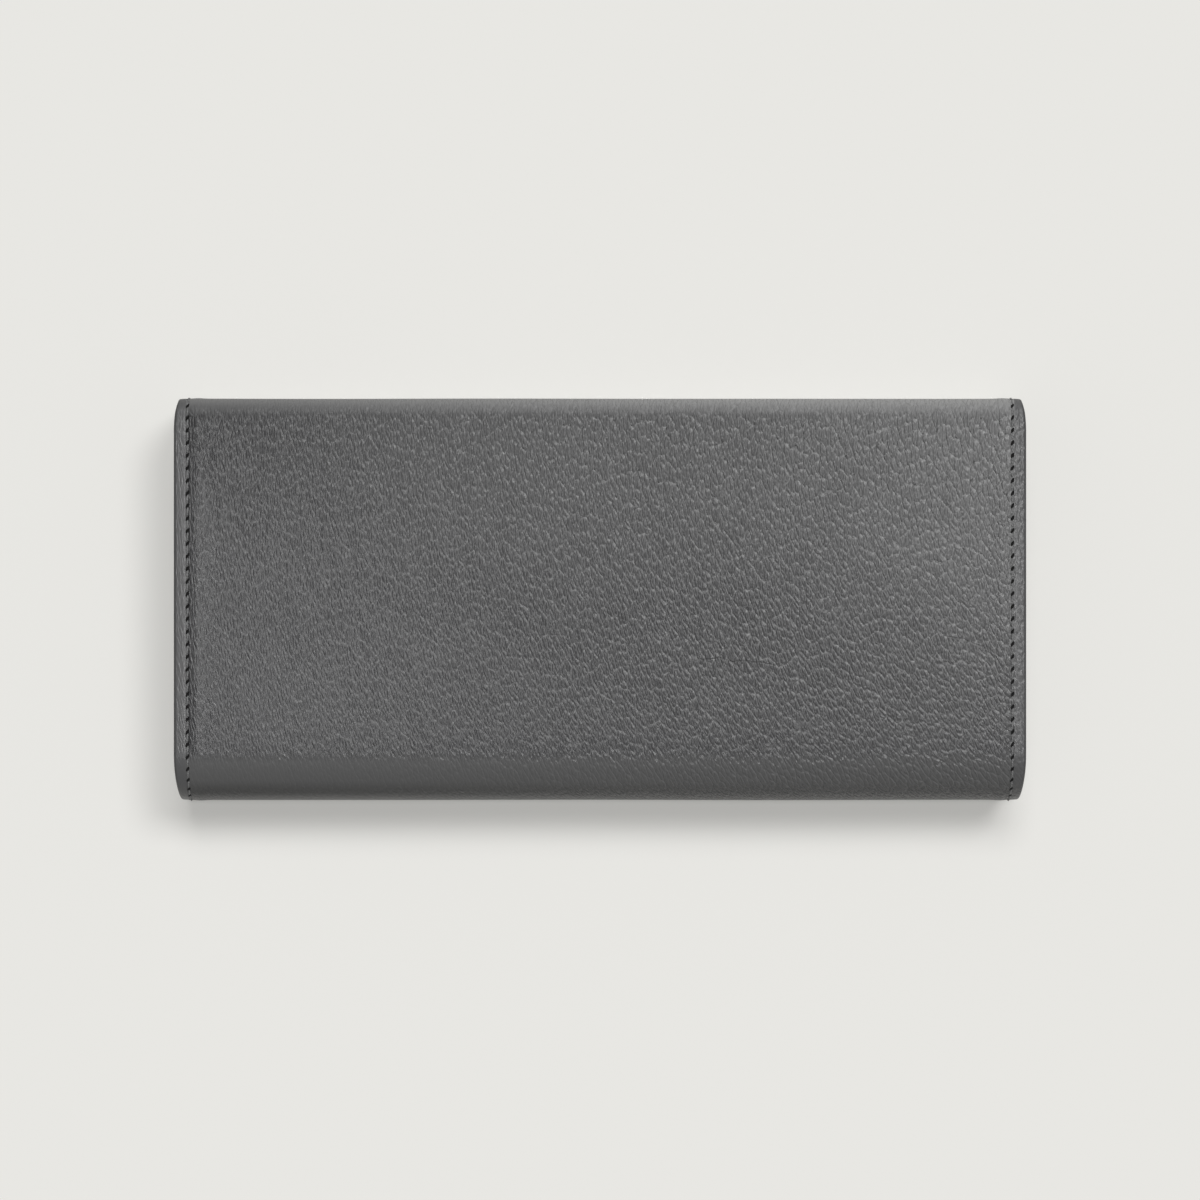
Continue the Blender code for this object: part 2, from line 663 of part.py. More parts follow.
def make_pull():
    """The pull: a tab with an eye, and a round bar across the eye that lies under the crown."""
    half = PULL_WIDTH / 2
    tip_x = slider_place - PULL_LENGTH
    round_end = arc((tip_x + half, leaf_middle), half, math.pi / 2, 3 * math.pi / 2, 2 * CORNER_STEPS)
    plan = [point for point, facing in round_end]
    plan = [(slider_place, leaf_middle + half)] + plan + [(slider_place, leaf_middle - half)]
    low_y = pull_y - PULL_THICKNESS / 2
    high_y = pull_y + PULL_THICKNESS / 2
    pull = prism("zip_pull", plan, "Y", low_y, high_y, "nickel")

    eye_half = half - PULL_ARM
    eye_low_x = slider_place - PULL_EYE_LENGTH
    eye_high_x = slider_place + OVERRUN
    eye_plan = [
        (eye_high_x, leaf_middle + eye_half), (eye_low_x, leaf_middle + eye_half),
        (eye_low_x, leaf_middle - eye_half), (eye_high_x, leaf_middle - eye_half),
    ]
    eye = prism("pull_eye", eye_plan, "Y", low_y - OVERRUN, high_y + OVERRUN, "board")
    combine(pull, eye, "DIFFERENCE")
    hole_centre = (tip_x + half, leaf_middle)
    hole_round = arc(hole_centre, PULL_HOLE_RADIUS, 0, math.tau, SMALL_TURNED_STEPS)
    hole_plan = [point for point, facing in hole_round[:-1]]
    hole = prism("pull_hole", hole_plan, "Y", low_y - OVERRUN, high_y + OVERRUN, "board")
    combine(pull, hole, "DIFFERENCE")
    bar_centre = (slider_place, pull_y)
    bar_round = arc(bar_centre, PULL_BAR_RADIUS, 0, math.tau, SMALL_TURNED_STEPS)
    bar_plan = [point for point, facing in bar_round[:-1]]
    bar = prism("pull_bar", bar_plan, "Z", leaf_middle - half, leaf_middle + half, "nickel")
    combine(pull, bar, "UNION")


def make_gussets():
    """Four folded sides that join the coin bag to the front leaf and to the back."""
    half = GUSSET_THICKNESS / 2
    side_x = WALLET_WIDTH / 2 - GUSSET_SIDE_INSET
    apex_x = bag_half_length - GUSSET_TUCK
    bag_x = bag_half_length - GUSSET_BAG_LAP
    low_y = flap_edge_y
    high_y = bag_top_y - GUSSET_END_DROP
    faces = {
        "front": (slip_pocket_face + SHEET_GAP + half, leaf_middle - bag_half - SHEET_GAP - half),
        "back": (last_row_face - SHEET_GAP - half, leaf_middle + bag_half + SHEET_GAP + half),
    }
    for place, (leaf_z, bag_z) in faces.items():
        for hand, side in (("left", -1), ("right", 1)):
            path = [
                (side * side_x, leaf_z), (side * apex_x, (leaf_z + bag_z) / 2), (side * bag_x, bag_z),
            ]
            section = strip_outline(bend(path, GUSSET_ROUND, BEND_STEPS), GUSSET_THICKNESS)
            prism("gusset_" + place + "_" + hand, section, "Y", low_y, high_y, "lining_leather")


def make_snap():
    """The press stud: cap, socket and split spring ring in the flap, stud and post in the front."""
    tube_inner = CAP_TUBE_RADIUS - CAP_TUBE_WALL
    cap_top = flap_stiffener_base + STIFFENER_THICKNESS
    tube_top = flap_lining_base + LINING_THICKNESS
    turned("snap_cap", [
        (0, flap_stiffener_base), (CAP_RADIUS, flap_stiffener_base), (CAP_RADIUS, cap_top),
        (CAP_TUBE_RADIUS, cap_top), (CAP_TUBE_RADIUS, tube_top), (tube_inner, tube_top),
        (tube_inner, cap_top), (0, cap_top),
    ], snap_y, "nickel")

    seat = tube_top + SHEET_GAP
    socket_top = seat + SOCKET_THICKNESS
    collar_inner = CAP_TUBE_RADIUS + SHEET_GAP
    collar_outer = collar_inner + SOCKET_COLLAR_WALL
    turned("snap_socket", [
        (SOCKET_BORE_RADIUS, seat), (collar_inner, seat), (collar_inner, seat - SOCKET_COLLAR_DEPTH),
        (collar_outer, seat - SOCKET_COLLAR_DEPTH), (collar_outer, seat), (SOCKET_RADIUS, seat),
        (SOCKET_RADIUS, socket_top), (SOCKET_BORE_RADIUS, socket_top),
    ], snap_y, "nickel")

    ring_outer = tube_inner - SHEET_GAP
    ring_inner = ring_outer - SPRING_WIDTH
    ring_low = cap_top + SHEET_GAP
    ring_high = ring_low + SPRING_HEIGHT
    half_split = math.radians(SPRING_SPLIT_ANGLE) / 2
    rings = []
    for angle in between(half_split, math.tau - half_split, TURNED_STEPS):
        ring = []
        for radius, z in (
            (ring_inner, ring_low), (ring_outer, ring_low), (ring_outer, ring_high), (ring_inner, ring_high),
        ):
            ring.append((radius * math.cos(angle), snap_y + radius * math.sin(angle), z))
        rings.append(ring)
    loft("snap_spring", rings, "nickel")

    flange_base = front_base - SHEET_GAP
    flange_top = flange_base + STUD_FLANGE_HEIGHT
    head_base = cap_top + SHEET_GAP
    head_top = head_base + STUD_HEAD_HEIGHT
    bore = POST_SHANK_RADIUS + SHEET_GAP
    bore_base = head_top + SHEET_GAP
    turned("snap_stud", [
        (0, head_base), (STUD_HEAD_RADIUS - STUD_CHAMFER, head_base),
        (STUD_HEAD_RADIUS, head_base + STUD_CHAMFER), (STUD_HEAD_RADIUS, head_top),
        (STUD_NECK_RADIUS, head_top + STUD_CHAMFER), (STUD_NECK_RADIUS, flange_base),
        (STUD_FLANGE_RADIUS, flange_base), (STUD_FLANGE_RADIUS, flange_top), (bore, flange_top),
        (bore, bore_base), (0, bore_base),
    ], snap_y, "nickel")

    disc_top = front_stiffener_base + STIFFENER_THICKNESS
    turned("snap_post", [
        (0, bore_base + SHEET_GAP), (POST_SHANK_RADIUS, bore_base + SHEET_GAP),
        (POST_SHANK_RADIUS, front_stiffener_base), (POST_DISC_RADIUS, front_stiffener_base),
        (POST_DISC_RADIUS, disc_top), (0, disc_top),
    ], snap_y, "nickel")


def set_joints():
    """An empty on each joint's axis, with what moves about it."""
    spine = hang(["spine_cover", "spine_lining"], "spine_axis", spine_hinge)
    hang(
        ["flap_cover", "flap_stiffener", "flap_lining", "snap_cap", "snap_socket", "snap_spring"],
        "flap_axis", flap_hinge, spine,
    )
    hang(
        [
            "front_cover", "front_stiffener", "front_lining", "front_slip_pocket", "snap_stud",
            "snap_post", "gusset_front_left", "gusset_front_right",
        ],
        "front_leaf_axis", leaf_hinge,
    )
    bag = hang(
        [
            "coin_bag", "zip_chain_front", "zip_chain_back", "zip_bottom_stop", "zip_top_stop_front",
            "zip_top_stop_back", "gusset_back_left", "gusset_back_right",
        ],
        "coin_bag_axis", leaf_hinge,
    )
    slider = hang(["zip_slider"], "slider_axis", (slider_place, zip_y, leaf_middle), bag)
    hang(["zip_pull"], "pull_axis", (slider_place, pull_y, leaf_middle), slider)


for old in list(bpy.data.objects):
    bpy.data.objects.remove(old)
make_outer_leather()
make_stiffeners()
make_linings()
make_card_slots()
make_coin_bag()
make_zip_chain()
make_zip_stops()
make_slider()
make_pull()
make_gussets()
make_snap()
set_joints()
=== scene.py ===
"""The looks of a continental wallet in grey tumbled leather, lying closed on its flap, back up.

Metres, in the frame of the solid model: X along the width, Y from body fold to flap fold, +Z up.
"""
import math

import bmesh
import bpy
import numpy as np
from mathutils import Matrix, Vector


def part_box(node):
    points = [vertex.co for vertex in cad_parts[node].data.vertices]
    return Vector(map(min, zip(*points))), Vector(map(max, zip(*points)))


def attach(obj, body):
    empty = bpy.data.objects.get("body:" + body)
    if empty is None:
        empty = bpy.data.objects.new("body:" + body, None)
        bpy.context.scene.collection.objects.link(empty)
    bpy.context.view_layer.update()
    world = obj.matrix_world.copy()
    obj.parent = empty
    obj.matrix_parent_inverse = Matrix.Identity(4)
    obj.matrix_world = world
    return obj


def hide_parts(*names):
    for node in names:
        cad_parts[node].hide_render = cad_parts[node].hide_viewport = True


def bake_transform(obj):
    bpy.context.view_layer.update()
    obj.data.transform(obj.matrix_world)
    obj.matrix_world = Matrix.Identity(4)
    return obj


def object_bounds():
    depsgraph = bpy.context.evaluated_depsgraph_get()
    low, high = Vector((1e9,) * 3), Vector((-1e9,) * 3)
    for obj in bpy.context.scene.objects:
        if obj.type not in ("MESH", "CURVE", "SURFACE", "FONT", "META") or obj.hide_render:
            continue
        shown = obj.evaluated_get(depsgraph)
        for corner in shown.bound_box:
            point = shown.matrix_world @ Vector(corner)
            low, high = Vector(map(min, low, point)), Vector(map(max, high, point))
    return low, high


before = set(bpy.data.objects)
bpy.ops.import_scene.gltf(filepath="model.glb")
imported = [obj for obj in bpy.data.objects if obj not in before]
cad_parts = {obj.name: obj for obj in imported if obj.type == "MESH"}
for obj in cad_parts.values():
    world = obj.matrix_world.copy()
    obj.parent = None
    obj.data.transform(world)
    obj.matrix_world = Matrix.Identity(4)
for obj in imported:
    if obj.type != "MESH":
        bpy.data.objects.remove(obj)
cad_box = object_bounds()

# The studio: a plain pale floor under the wallet, an even surround, and three broad far lights. One
# stands above, and two lean from the top and the upper right, so that the soft shadow falls to the
# lower left. The camera looks straight down.
CAMERA_HEIGHT = 1.0
FRAME_WIDTH = 0.2673
SENSOR_WIDTH = 36.0
FLOOR_SIZE = 6.0
FLOOR_COLOUR = (0.806, 0.799, 0.768)
SURROUND_STRENGTH = 0.12
REFLECTED_STRENGTH = 0.6
FLOOR_ROUGH = 0.95
# Each light: its name, its strength, and its spread, lean and turn in degrees.
LIGHTS = (
    ("light_above", 0.30, 8, 2, 0),
    ("light_upper_right", 0.33, 20, 30, -42),
    ("light_upper", 0.25, 20, 29, 0),
)
FLOOR_GLOW = 0.25

wallet_top = cad_box[1].z
camera = bpy.data.objects.new("camera", bpy.data.cameras.new("camera"))
camera.location = (0, 0, wallet_top + CAMERA_HEIGHT)
camera.data.sensor_width = SENSOR_WIDTH
camera.data.lens = SENSOR_WIDTH * CAMERA_HEIGHT / FRAME_WIDTH
bpy.context.scene.collection.objects.link(camera)
bpy.context.scene.camera = camera
bpy.context.scene.view_settings.view_transform = "Standard"

for name, share, spread, lean, turn in LIGHTS:
    light = bpy.data.objects.new(name, bpy.data.lights.new(name, "SUN"))
    light.data.energy = math.pi * share / math.cos(math.radians(lean))
    light.data.angle = math.radians(spread)
    light.rotation_euler = (-math.radians(lean), 0, math.radians(turn))
    bpy.context.scene.collection.objects.link(light)

world = bpy.data.worlds.new("surround")
world.use_nodes = True
bpy.context.scene.world = world
tree = world.node_tree
ray = tree.nodes.new("ShaderNodeLightPath")
mirrored = tree.nodes.new("ShaderNodeMapRange")
mirrored.inputs["To Min"].default_value = SURROUND_STRENGTH
mirrored.inputs["To Max"].default_value = REFLECTED_STRENGTH
tree.links.new(ray.outputs["Is Glossy Ray"], mirrored.inputs["Value"])
seen = tree.nodes.new("ShaderNodeMix")
seen.inputs["B"].default_value = 1
tree.links.new(ray.outputs["Is Camera Ray"], seen.inputs["Factor"])
tree.links.new(mirrored.outputs[0], seen.inputs["A"])
tree.links.new(seen.outputs["Result"], tree.nodes["Background"].inputs["Strength"])
shown = tree.nodes.new("ShaderNodeMix")
shown.data_type = "RGBA"
shown.inputs[6].default_value = (1, 1, 1, 1)
shown.inputs[7].default_value = (*FLOOR_COLOUR, 1)
tree.links.new(ray.outputs["Is Camera Ray"], shown.inputs[0])
tree.links.new(shown.outputs[2], tree.nodes["Background"].inputs["Color"])


def mesh_piece(name, points, faces):
    """A new object at the origin from an array of points and a list of faces."""
    mesh = bpy.data.meshes.new(name)
    mesh.from_pydata(np.asarray(points, float).reshape(-1, 3), [], faces)
    piece = bpy.data.objects.new(name, mesh)
    bpy.context.scene.collection.objects.link(piece)
    return piece


half_floor = FLOOR_SIZE / 2
floor_corners = np.array([(-1, -1, 0), (1, -1, 0), (1, 1, 0), (-1, 1, 0)]) * half_floor
floor = mesh_piece("floor", floor_corners, [(0, 1, 2, 3)])


def new_material(name, colour=(0.5, 0.5, 0.5), roughness=0.5, metallic=0.0):
    """A material and its Principled shader, with plain values on the shader's own sockets."""
    material = bpy.data.materials.new(name)
    material.use_nodes = True
    shader = material.node_tree.nodes["Principled BSDF"]
    shader.inputs["Base Color"].default_value = (*colour, 1)
    shader.inputs["Roughness"].default_value = roughness
    shader.inputs["Metallic"].default_value = metallic
    return material, shader


floor_material, floor_shader = new_material("floor_paper", FLOOR_COLOUR, FLOOR_ROUGH)
floor_shader.inputs["Specular IOR Level"].default_value = 0
tree = floor_material.node_tree
glow = tree.nodes.new("ShaderNodeEmission")
glow.inputs["Color"].default_value = (*FLOOR_COLOUR, 1)
ray = tree.nodes.new("ShaderNodeLightPath")
share = tree.nodes.new("ShaderNodeMath")
share.operation = "MULTIPLY"
share.inputs[1].default_value = FLOOR_GLOW
lit_floor = tree.nodes.new("ShaderNodeMixShader")
tree.links.new(ray.outputs["Is Camera Ray"], share.inputs[0])
tree.links.new(share.outputs[0], lit_floor.inputs["Fac"])
tree.links.new(floor_shader.outputs[0], lit_floor.inputs[1])
tree.links.new(glow.outputs[0], lit_floor.inputs[2])
tree.links.new(lit_floor.outputs[0], tree.nodes["Material Output"].inputs["Surface"])
floor.data.materials.append(floor_material)


# The outer leather: one sheet of full-grain leather that runs from the front panel's top edge, round
# the body fold, up the back, over the two flap creases and down the flap. It is about 1.2 mm thick,
# cut square and painted along its edges. Here it is three pieces, cut on the body fold and at the middle of
# the spine.
back_low, back_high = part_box("back_cover")
front_low, front_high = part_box("front_cover")
flap_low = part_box("flap_cover")[0]
spine_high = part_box("spine_cover")[1]
LEATHER = front_high.z - front_low.z
CREASE_RADIUS = 0.0035
FOLD_DRAW_IN = 0.0008
CREASE_DRAW_LENGTH = 0.007
FOLD_DRAW_LENGTH = 0.010
FLAP_INSET = 0.0005
INSET_LENGTH = 0.015
FLAP_CORNER = 0.008
FRONT_CORNER = 0.003
FOLD_CUT_ANGLE = math.radians(135)

fold_radius = (back_high.z - front_low.z) / 2
fold_z = front_low.z + fold_radius
fold_y = back_low.y + fold_radius
crease_y = spine_high.y - CREASE_RADIUS
half_width = back_high.x
fold_length = math.pi * fold_radius
crease_length = math.pi / 2 * CREASE_RADIUS
spine_length = back_high.z - 2 * CREASE_RADIUS

# How far along the sheet each stretch begins. On the back panel it is the same as Y.
front_end_v = fold_y - fold_length
front_edge_v = front_end_v - (front_high.y - fold_y)
spine_start_v = crease_y + crease_length
spine_end_v = spine_start_v + spine_length
flap_start_v = spine_end_v + crease_length
flap_edge_v = flap_start_v + crease_y - flap_low.y
fold_cut_v = fold_y - fold_radius * FOLD_CUT_ANGLE
spine_middle_v = (spine_start_v + spine_end_v) / 2


def sheet_section(v):
    """The sheet's outer face seen from the end: y, z and the outward direction at each place along it.

    Straight stretches move along one axis. On a fold the direction turns as length over radius.
    """
    fold_turn = np.clip((fold_y - v) / fold_radius, 0, math.pi)
    upper_turn = np.clip((v - crease_y) / CREASE_RADIUS, 0, math.pi / 2)
    lower_turn = np.clip((v - spine_end_v) / CREASE_RADIUS, 0, math.pi / 2)
    on_front = v < front_end_v
    on_fold = v < fold_y
    on_flap = v > spine_end_v
    on_spine = v > crease_y
    past_front = np.maximum(front_end_v - v, 0)
    past_flap = np.maximum(v - flap_start_v, 0)
    past_spine = np.clip(v - spine_start_v, 0, spine_length)
    y = np.select(
        [on_fold, on_flap, on_spine],
        [
            fold_y - fold_radius * np.sin(fold_turn) + past_front,
            crease_y + CREASE_RADIUS * np.cos(lower_turn) - past_flap,
            crease_y + CREASE_RADIUS * np.sin(upper_turn),
        ], v,
    )
    z = np.select(
        [on_fold, on_flap, on_spine],
        [
            fold_z + fold_radius * np.cos(fold_turn),
            CREASE_RADIUS - CREASE_RADIUS * np.sin(lower_turn),
            back_high.z - CREASE_RADIUS + CREASE_RADIUS * np.cos(upper_turn) - past_spine,
        ], back_high.z,
    )
    turn = np.select([on_front, on_fold, on_flap, on_spine],
                     [math.pi, fold_turn, math.pi / 2 + lower_turn, upper_turn], 0.0)
    side = np.where(on_fold, -1.0, 1.0)
    return y, z, side * np.sin(turn), np.cos(turn)


def smooth_step(share):
    """Zero to one with level ends: three times the square less twice the cube."""
    share = np.clip(share, 0, 1)
    return share * share * (3 - 2 * share)


def sheet_half_width(v):
    """Half the sheet's width: drawn in at the folds, set in on flap and front, round at its corners."""
    y = sheet_section(v)[0]
    to_crease = (y - back_high.y - FOLD_DRAW_IN + CREASE_DRAW_LENGTH) / CREASE_DRAW_LENGTH
    to_fold = (back_low.y + FOLD_DRAW_LENGTH - y) / FOLD_DRAW_LENGTH
    share = np.clip(np.maximum(to_crease, to_fold), 0, 1)
    width = half_width - FOLD_DRAW_IN * share ** 2
    width = width - FLAP_INSET * smooth_step((front_end_v + FLAP_INSET - v) / INSET_LENGTH)
    width = width - FLAP_INSET * smooth_step((v - flap_start_v) / INSET_LENGTH)
    width = width - corner_loss(v - front_edge_v, FRONT_CORNER)
    return width - corner_loss(flap_edge_v - v, FLAP_CORNER)


# The seam that holds each side: a straight row of lock stitches in tonal thread, sunk in a slight
# channel. The leather swells on both sides of it and is skived thinner towards the painted edge.
STITCH_INSET = 0.0031
STITCH_PITCH = 0.0028
SEAM_DEPTH = 0.00008
SEAM_DIP = 0.6
SEAM_WIDTH = 0.00029
SWELL_HEIGHT = 0.00012
SWELL_PLACE = 0.0021
SWELL_WIDTH = 0.0013
EDGE_DROP = 0.00016
UNDULATION = 0.00010
WAVE_FADE = 6 * SWELL_WIDTH
STUD_DENT = 0.00032
STUD_DENT_RADIUS = 0.0062
STUD_DENT_SLOPE = 0.0024
SEAM_SHARE = 0.93
MIDDLE_COLUMNS = 61
CLOSE_COLUMNS = 21
# Each slow wave: its turns across and along, in radians a metre, and where it starts.
WAVES = ((41, 17, 0.6), (-23, 58, 2.1), (67, -31, 4.0), (12, 83, 5.2), (88, 64, 1.3))

stitch_x = half_width - STITCH_INSET
stud_low, stud_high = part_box("snap_stud")
stud_v = front_end_v - ((stud_low.y + stud_high.y) / 2 - fold_y)


def leather_rise(x, v):
    """How far the outer face stands off its flat: long slow waves, a seam channel and its swells, and
    the dent that the stud's riveting leaves in the front."""
    along = np.abs(x) - stitch_x
    waves = sum(np.sin(fx * x + fv * v + phase) for fx, fv, phase in WAVES) / len(WAVES)
    rise = UNDULATION * waves * smooth_step(-along / WAVE_FADE)
    off_stud = np.hypot(x, v - stud_v)
    rise = rise - STUD_DENT * smooth_step((STUD_DENT_RADIUS - off_stud) / STUD_DENT_SLOPE)
    at_stitch = 0.5 + 0.5 * np.cos(2 * math.pi * (v / STITCH_PITCH - 0.5))
    rise = rise - SEAM_DEPTH * (SEAM_DIP + SEAM_DIP * at_stitch) * np.exp(-(along / SEAM_WIDTH) ** 2)
    rise = rise + SWELL_HEIGHT * np.exp(-((along + SWELL_PLACE) / SWELL_WIDTH) ** 2)
    return rise - EDGE_DROP * smooth_step((along - SEAM_WIDTH) / STITCH_INSET)


def sheet_columns():
    """Shares of half the width for the outer face's columns, close together near both seams."""
    middle = np.linspace(-SEAM_SHARE, SEAM_SHARE, MIDDLE_COLUMNS)
    seam = np.linspace(SEAM_SHARE, 1, CLOSE_COLUMNS)[1:]
    stud = np.linspace(-STUD_DENT_RADIUS, STUD_DENT_RADIUS, CLOSE_COLUMNS) / half_width
    middle = middle[np.abs(middle) > STUD_DENT_RADIUS / half_width]
    return np.sort(np.concatenate([-seam, middle, seam, stud]))


EDGE_STEPS = 7
LEATHER_ROW = STITCH_PITCH / 4
NO_END = 1.0
THINNEST_END = 0.01
ROW_DECIMALS = 6
LEAST_ROW = 0.00001
ROUND_ROWS = 7
BEND_ROWS = 9
SHARP_EDGE = math.radians(50)


def corner_loss(room, radius):
    """What a round corner takes off the half width, at some room from the end: radius less its arc."""
    within = np.clip(1 - np.maximum(room, 0) / radius, 0, 1)
    return radius * (1 - np.sqrt(1 - within ** 2))


def spaced(first, last, step, *close):
    """Places from first to last at a step, with closer ones merged in where the shape needs them."""
    rows = np.concatenate([np.arange(first, last, step), [first, last], *close])
    rows = np.unique(np.round(rows[(rows >= first) & (rows <= last)], ROW_DECIMALS))
    return rows[np.concatenate([[True], np.diff(rows) > LEAST_ROW])]


def round_end(place, direction, radius):
    """Places that crowd towards an end, so that it comes out round: a radius less its cosine."""
    return place + direction * radius * (1 - np.cos(np.linspace(0, math.pi / 2, ROUND_ROWS)))


def ply(name, along, section, half, top, thickness, shares, free=(True, True), rise=None, press=None,
        under=None, centre=0.0, bend=None, plane="YZ"):
    """One closed layer that follows a section line, and its width lies across that line.

    Each ring goes over the outer face, round one edge, back over the inner face and round the other
    edge, at a depth below the section line. Free ends close with a half-round edge. rise lifts the
    outer face and press the inner one, under moves both, and bend moves the finished points.
    """
    first_way, second_way, facing_first, facing_second = section
    v = along[:, None]
    none = np.zeros_like(v)
    room = np.full_like(v, NO_END)
    if free[0]:
        room = np.minimum(room, v - along[0])
    if free[1]:
        room = np.minimum(room, along[-1] - v)
    end_share = np.clip(room / (thickness / 2), 0, 1)
    half_thick = thickness / 2 * np.sqrt(np.maximum(1 - (1 - end_share) ** 2, THINNEST_END))
    core = half(v) + none - thickness / 2
    lift = (lambda x: rise(x, v) * end_share) if rise else (lambda x: 0 * x)
    push = (lambda x: press(x, v) * end_share) if press else (lambda x: 0 * x)
    middle_depth = top + thickness / 2
    middle = (lambda x: middle_depth + under(x, v)) if under else (lambda x: middle_depth + 0 * x)
    outer_x = shares[0][None, :] * core
    inner_x = shares[1][None, ::-1] * core
    turn = np.linspace(0, math.pi, EDGE_STEPS + 2)[None, 1:-1]
    edge_x = core + half_thick * np.sin(turn)
    edge_depth = middle(core) - half_thick * np.cos(turn) - lift(core) * (0.5 + 0.5 * np.cos(turn))
    outer_depth = middle(outer_x) - half_thick - lift(outer_x)
    inner_depth = middle(inner_x) + half_thick + push(inner_x)
    across = np.concatenate([outer_x, edge_x, inner_x, -edge_x[:, ::-1]], axis=1)
    depth = np.concatenate([outer_depth, edge_depth, inner_depth, edge_depth[:, ::-1]], axis=1)
    first_place = first_way[:, None] - facing_first[:, None] * depth
    second_place = second_way[:, None] - facing_second[:, None] * depth
    middle_place = across + centre
    if plane == "YZ":
        points = np.stack([middle_place, first_place, second_place], axis=2)
    else:
        points = np.stack([first_place, middle_place, second_place], axis=2)
    if bend:
        points = bend(points)

    here = np.arange(across.size).reshape(across.shape)
    after = np.roll(here, -1, axis=1)
    walls = np.stack([here[:-1], after[:-1], after[1:], here[1:]], axis=2).reshape(-1, 4)
    faces = walls.tolist() + [here[0][::-1].tolist(), here[-1].tolist()]
    if plane != "YZ":
        faces = [face[::-1] for face in faces]
    piece = mesh_piece(name, points, faces)
    lay_flat(piece, middle_place.ravel(), np.broadcast_to(v, across.shape).ravel())
    count = outer_x.shape[1]
    edge = np.zeros_like(across)
    inside = np.zeros_like(across)
    edge[:, count:count + EDGE_STEPS] = np.sin(turn) ** 0.5
    edge[:, -EDGE_STEPS:] = np.sin(turn) ** 0.5
    edge = np.maximum(edge, 1 - end_share)
    inside[:, count + EDGE_STEPS:-EDGE_STEPS] = 1
    for label, values in (("edge", edge), ("inside", inside)):
        attribute = piece.data.attributes.new(label, "FLOAT", "POINT")
        attribute.data.foreach_set("value", values.astype(np.float32).ravel())
    piece.data.shade_smooth()
    piece.data.set_sharp_from_angle(angle=SHARP_EDGE)
    return piece


def lay_flat(piece, across, along):
    """A UV map named sheet, in metres across and along the layer as it lay flat on the bench."""
    mesh = piece.data
    corner_point = np.zeros(len(mesh.loops), np.int32)
    mesh.loops.foreach_get("vertex_index", corner_point)
    flat = np.stack([across[corner_point], along[corner_point]], axis=1)
    layer = mesh.uv_layers.new(name="sheet")
    layer.data.foreach_set("uv", flat.astype(np.float32).ravel())


def put(tree, kind, settings=None, **sockets):
    """A shader node with its settings, and each socket given a value or a link by its name.

    Where names repeat on one node, the letter s and the socket's number stand for the name.
    """
    made = tree.nodes.new(kind)
    for key, value in (settings or {}).items():
        setattr(made, key, value)
    for key, value in sockets.items():
        socket = made.inputs[int(key[1:])] if key[0] == "s" and key[1:].isdigit() else made.inputs[key]
        if isinstance(value, bpy.types.NodeSocket):
            tree.links.new(value, socket)
        else:
            socket.default_value = value
    return made


def work_out(tree, operation, first, second=0.0, third=0.0):
    """One Math node, and its output."""
    return put(tree, "ShaderNodeMath", {"operation": operation}, s0=first, s1=second, s2=third).outputs[0]


def times(tree, first, second):
    """First times second."""
    return work_out(tree, "MULTIPLY", first, second)


def times_plus(tree, first, second, third):
    """First times second, plus third."""
    return work_out(tree, "MULTIPLY_ADD", first, second, third)


def ramp(tree, value, low, high, to_low=0.0, to_high=1.0):
    """A smooth Map Range from one span of values to another, and its output."""
    made = put(tree, "ShaderNodeMapRange", {"interpolation_type": "SMOOTHSTEP"}, s0=value, s1=low, s2=high,
               s3=to_low, s4=to_high)
    return made.outputs[0]


def blend_colour(tree, share, first, second):
    """A colour Mix node, and its output."""
    return put(tree, "ShaderNodeMix", {"data_type": "RGBA"}, s0=share, s6=first, s7=second).outputs[2]


def noise(tree, place, scale, detail, kind="3D", **more):
    """A noise texture's outputs, in space or on a flat map."""
    settings = {"noise_dimensions": kind}
    return put(tree, "ShaderNodeTexNoise", settings, Vector=place, Scale=scale, Detail=detail, **more).outputs


def emboss(tree, shader, height):
    """Tilt a shader's normal by a height in metres."""
    bump = put(tree, "ShaderNodeBump", Height=height, Strength=1.0, Distance=1.0)
    tree.links.new(bump.outputs[0], shader.inputs["Normal"])


def new_group(name, inputs, outputs):
    """An empty shader group with named sockets: inputs as (name, kind, value), outputs as (name, kind)."""
    tree = bpy.data.node_groups.new(name, "ShaderNodeTree")
    for label, kind, value in inputs:
        socket = tree.interface.new_socket(name=label, in_out="INPUT", socket_type=kind)
        if value is not None:
            socket.default_value = value
    for label, kind in outputs:
        tree.interface.new_socket(name=label, in_out="OUTPUT", socket_type=kind)
    return tree, tree.nodes.new("NodeGroupInput").outputs, tree.nodes.new("NodeGroupOutput").inputs


# The grain of the hide. Its pebbles lie in rows that lean as they go down from the flap fold. The first
# numbers are metres on the flat sheet, or metres across to each metre along.
PEBBLE_WIDTH = 0.00088
PEBBLE_STRETCH = 0.30
GRAIN_DEPTH = 0.000048
LEAN_LENGTH = back_high.y - back_low.y
LEAN_EVEN = 0.04
LEAN_GAIN = 1.9
LEAN_GAIN_RIGHT = 8.0
PEBBLE_GROWTH = -1.2
ROW_SLANT = -0.65
WANDER_REACH = 0.00035
WANDER_SCALE = 420.0
PATCH_SCALE = 230.0
PATCH_SPAN = (0.32, 0.66, 0.92, 1.08)
PORE_SCALE = 2500.0
PORE_SHARE = 0.12
TILT_LEVEL = 0.62
TILT_SLOPE = 0.9
TILT_TURN = 0.15
RIM_SPAN = (0.01, 0.30, 1.0, 0.0)
# Tilts that take a painted highlight on a rim's high side, and painted shade on its low side.
FLANK_HIGHLIGHT_SPAN = (0.75, 1.05)
HOLLOW_SHADE_SPAN = (0.2, 0.5, 1.0, 0.0)
# For each size of pebble: how much finer, its rim's width, its share of the height and of the painted
# highlight and shade.
PEBBLES = ((1.0, 0.34, 0.75, 0.8), (2.0, 0.40, 0.30, 0.2))


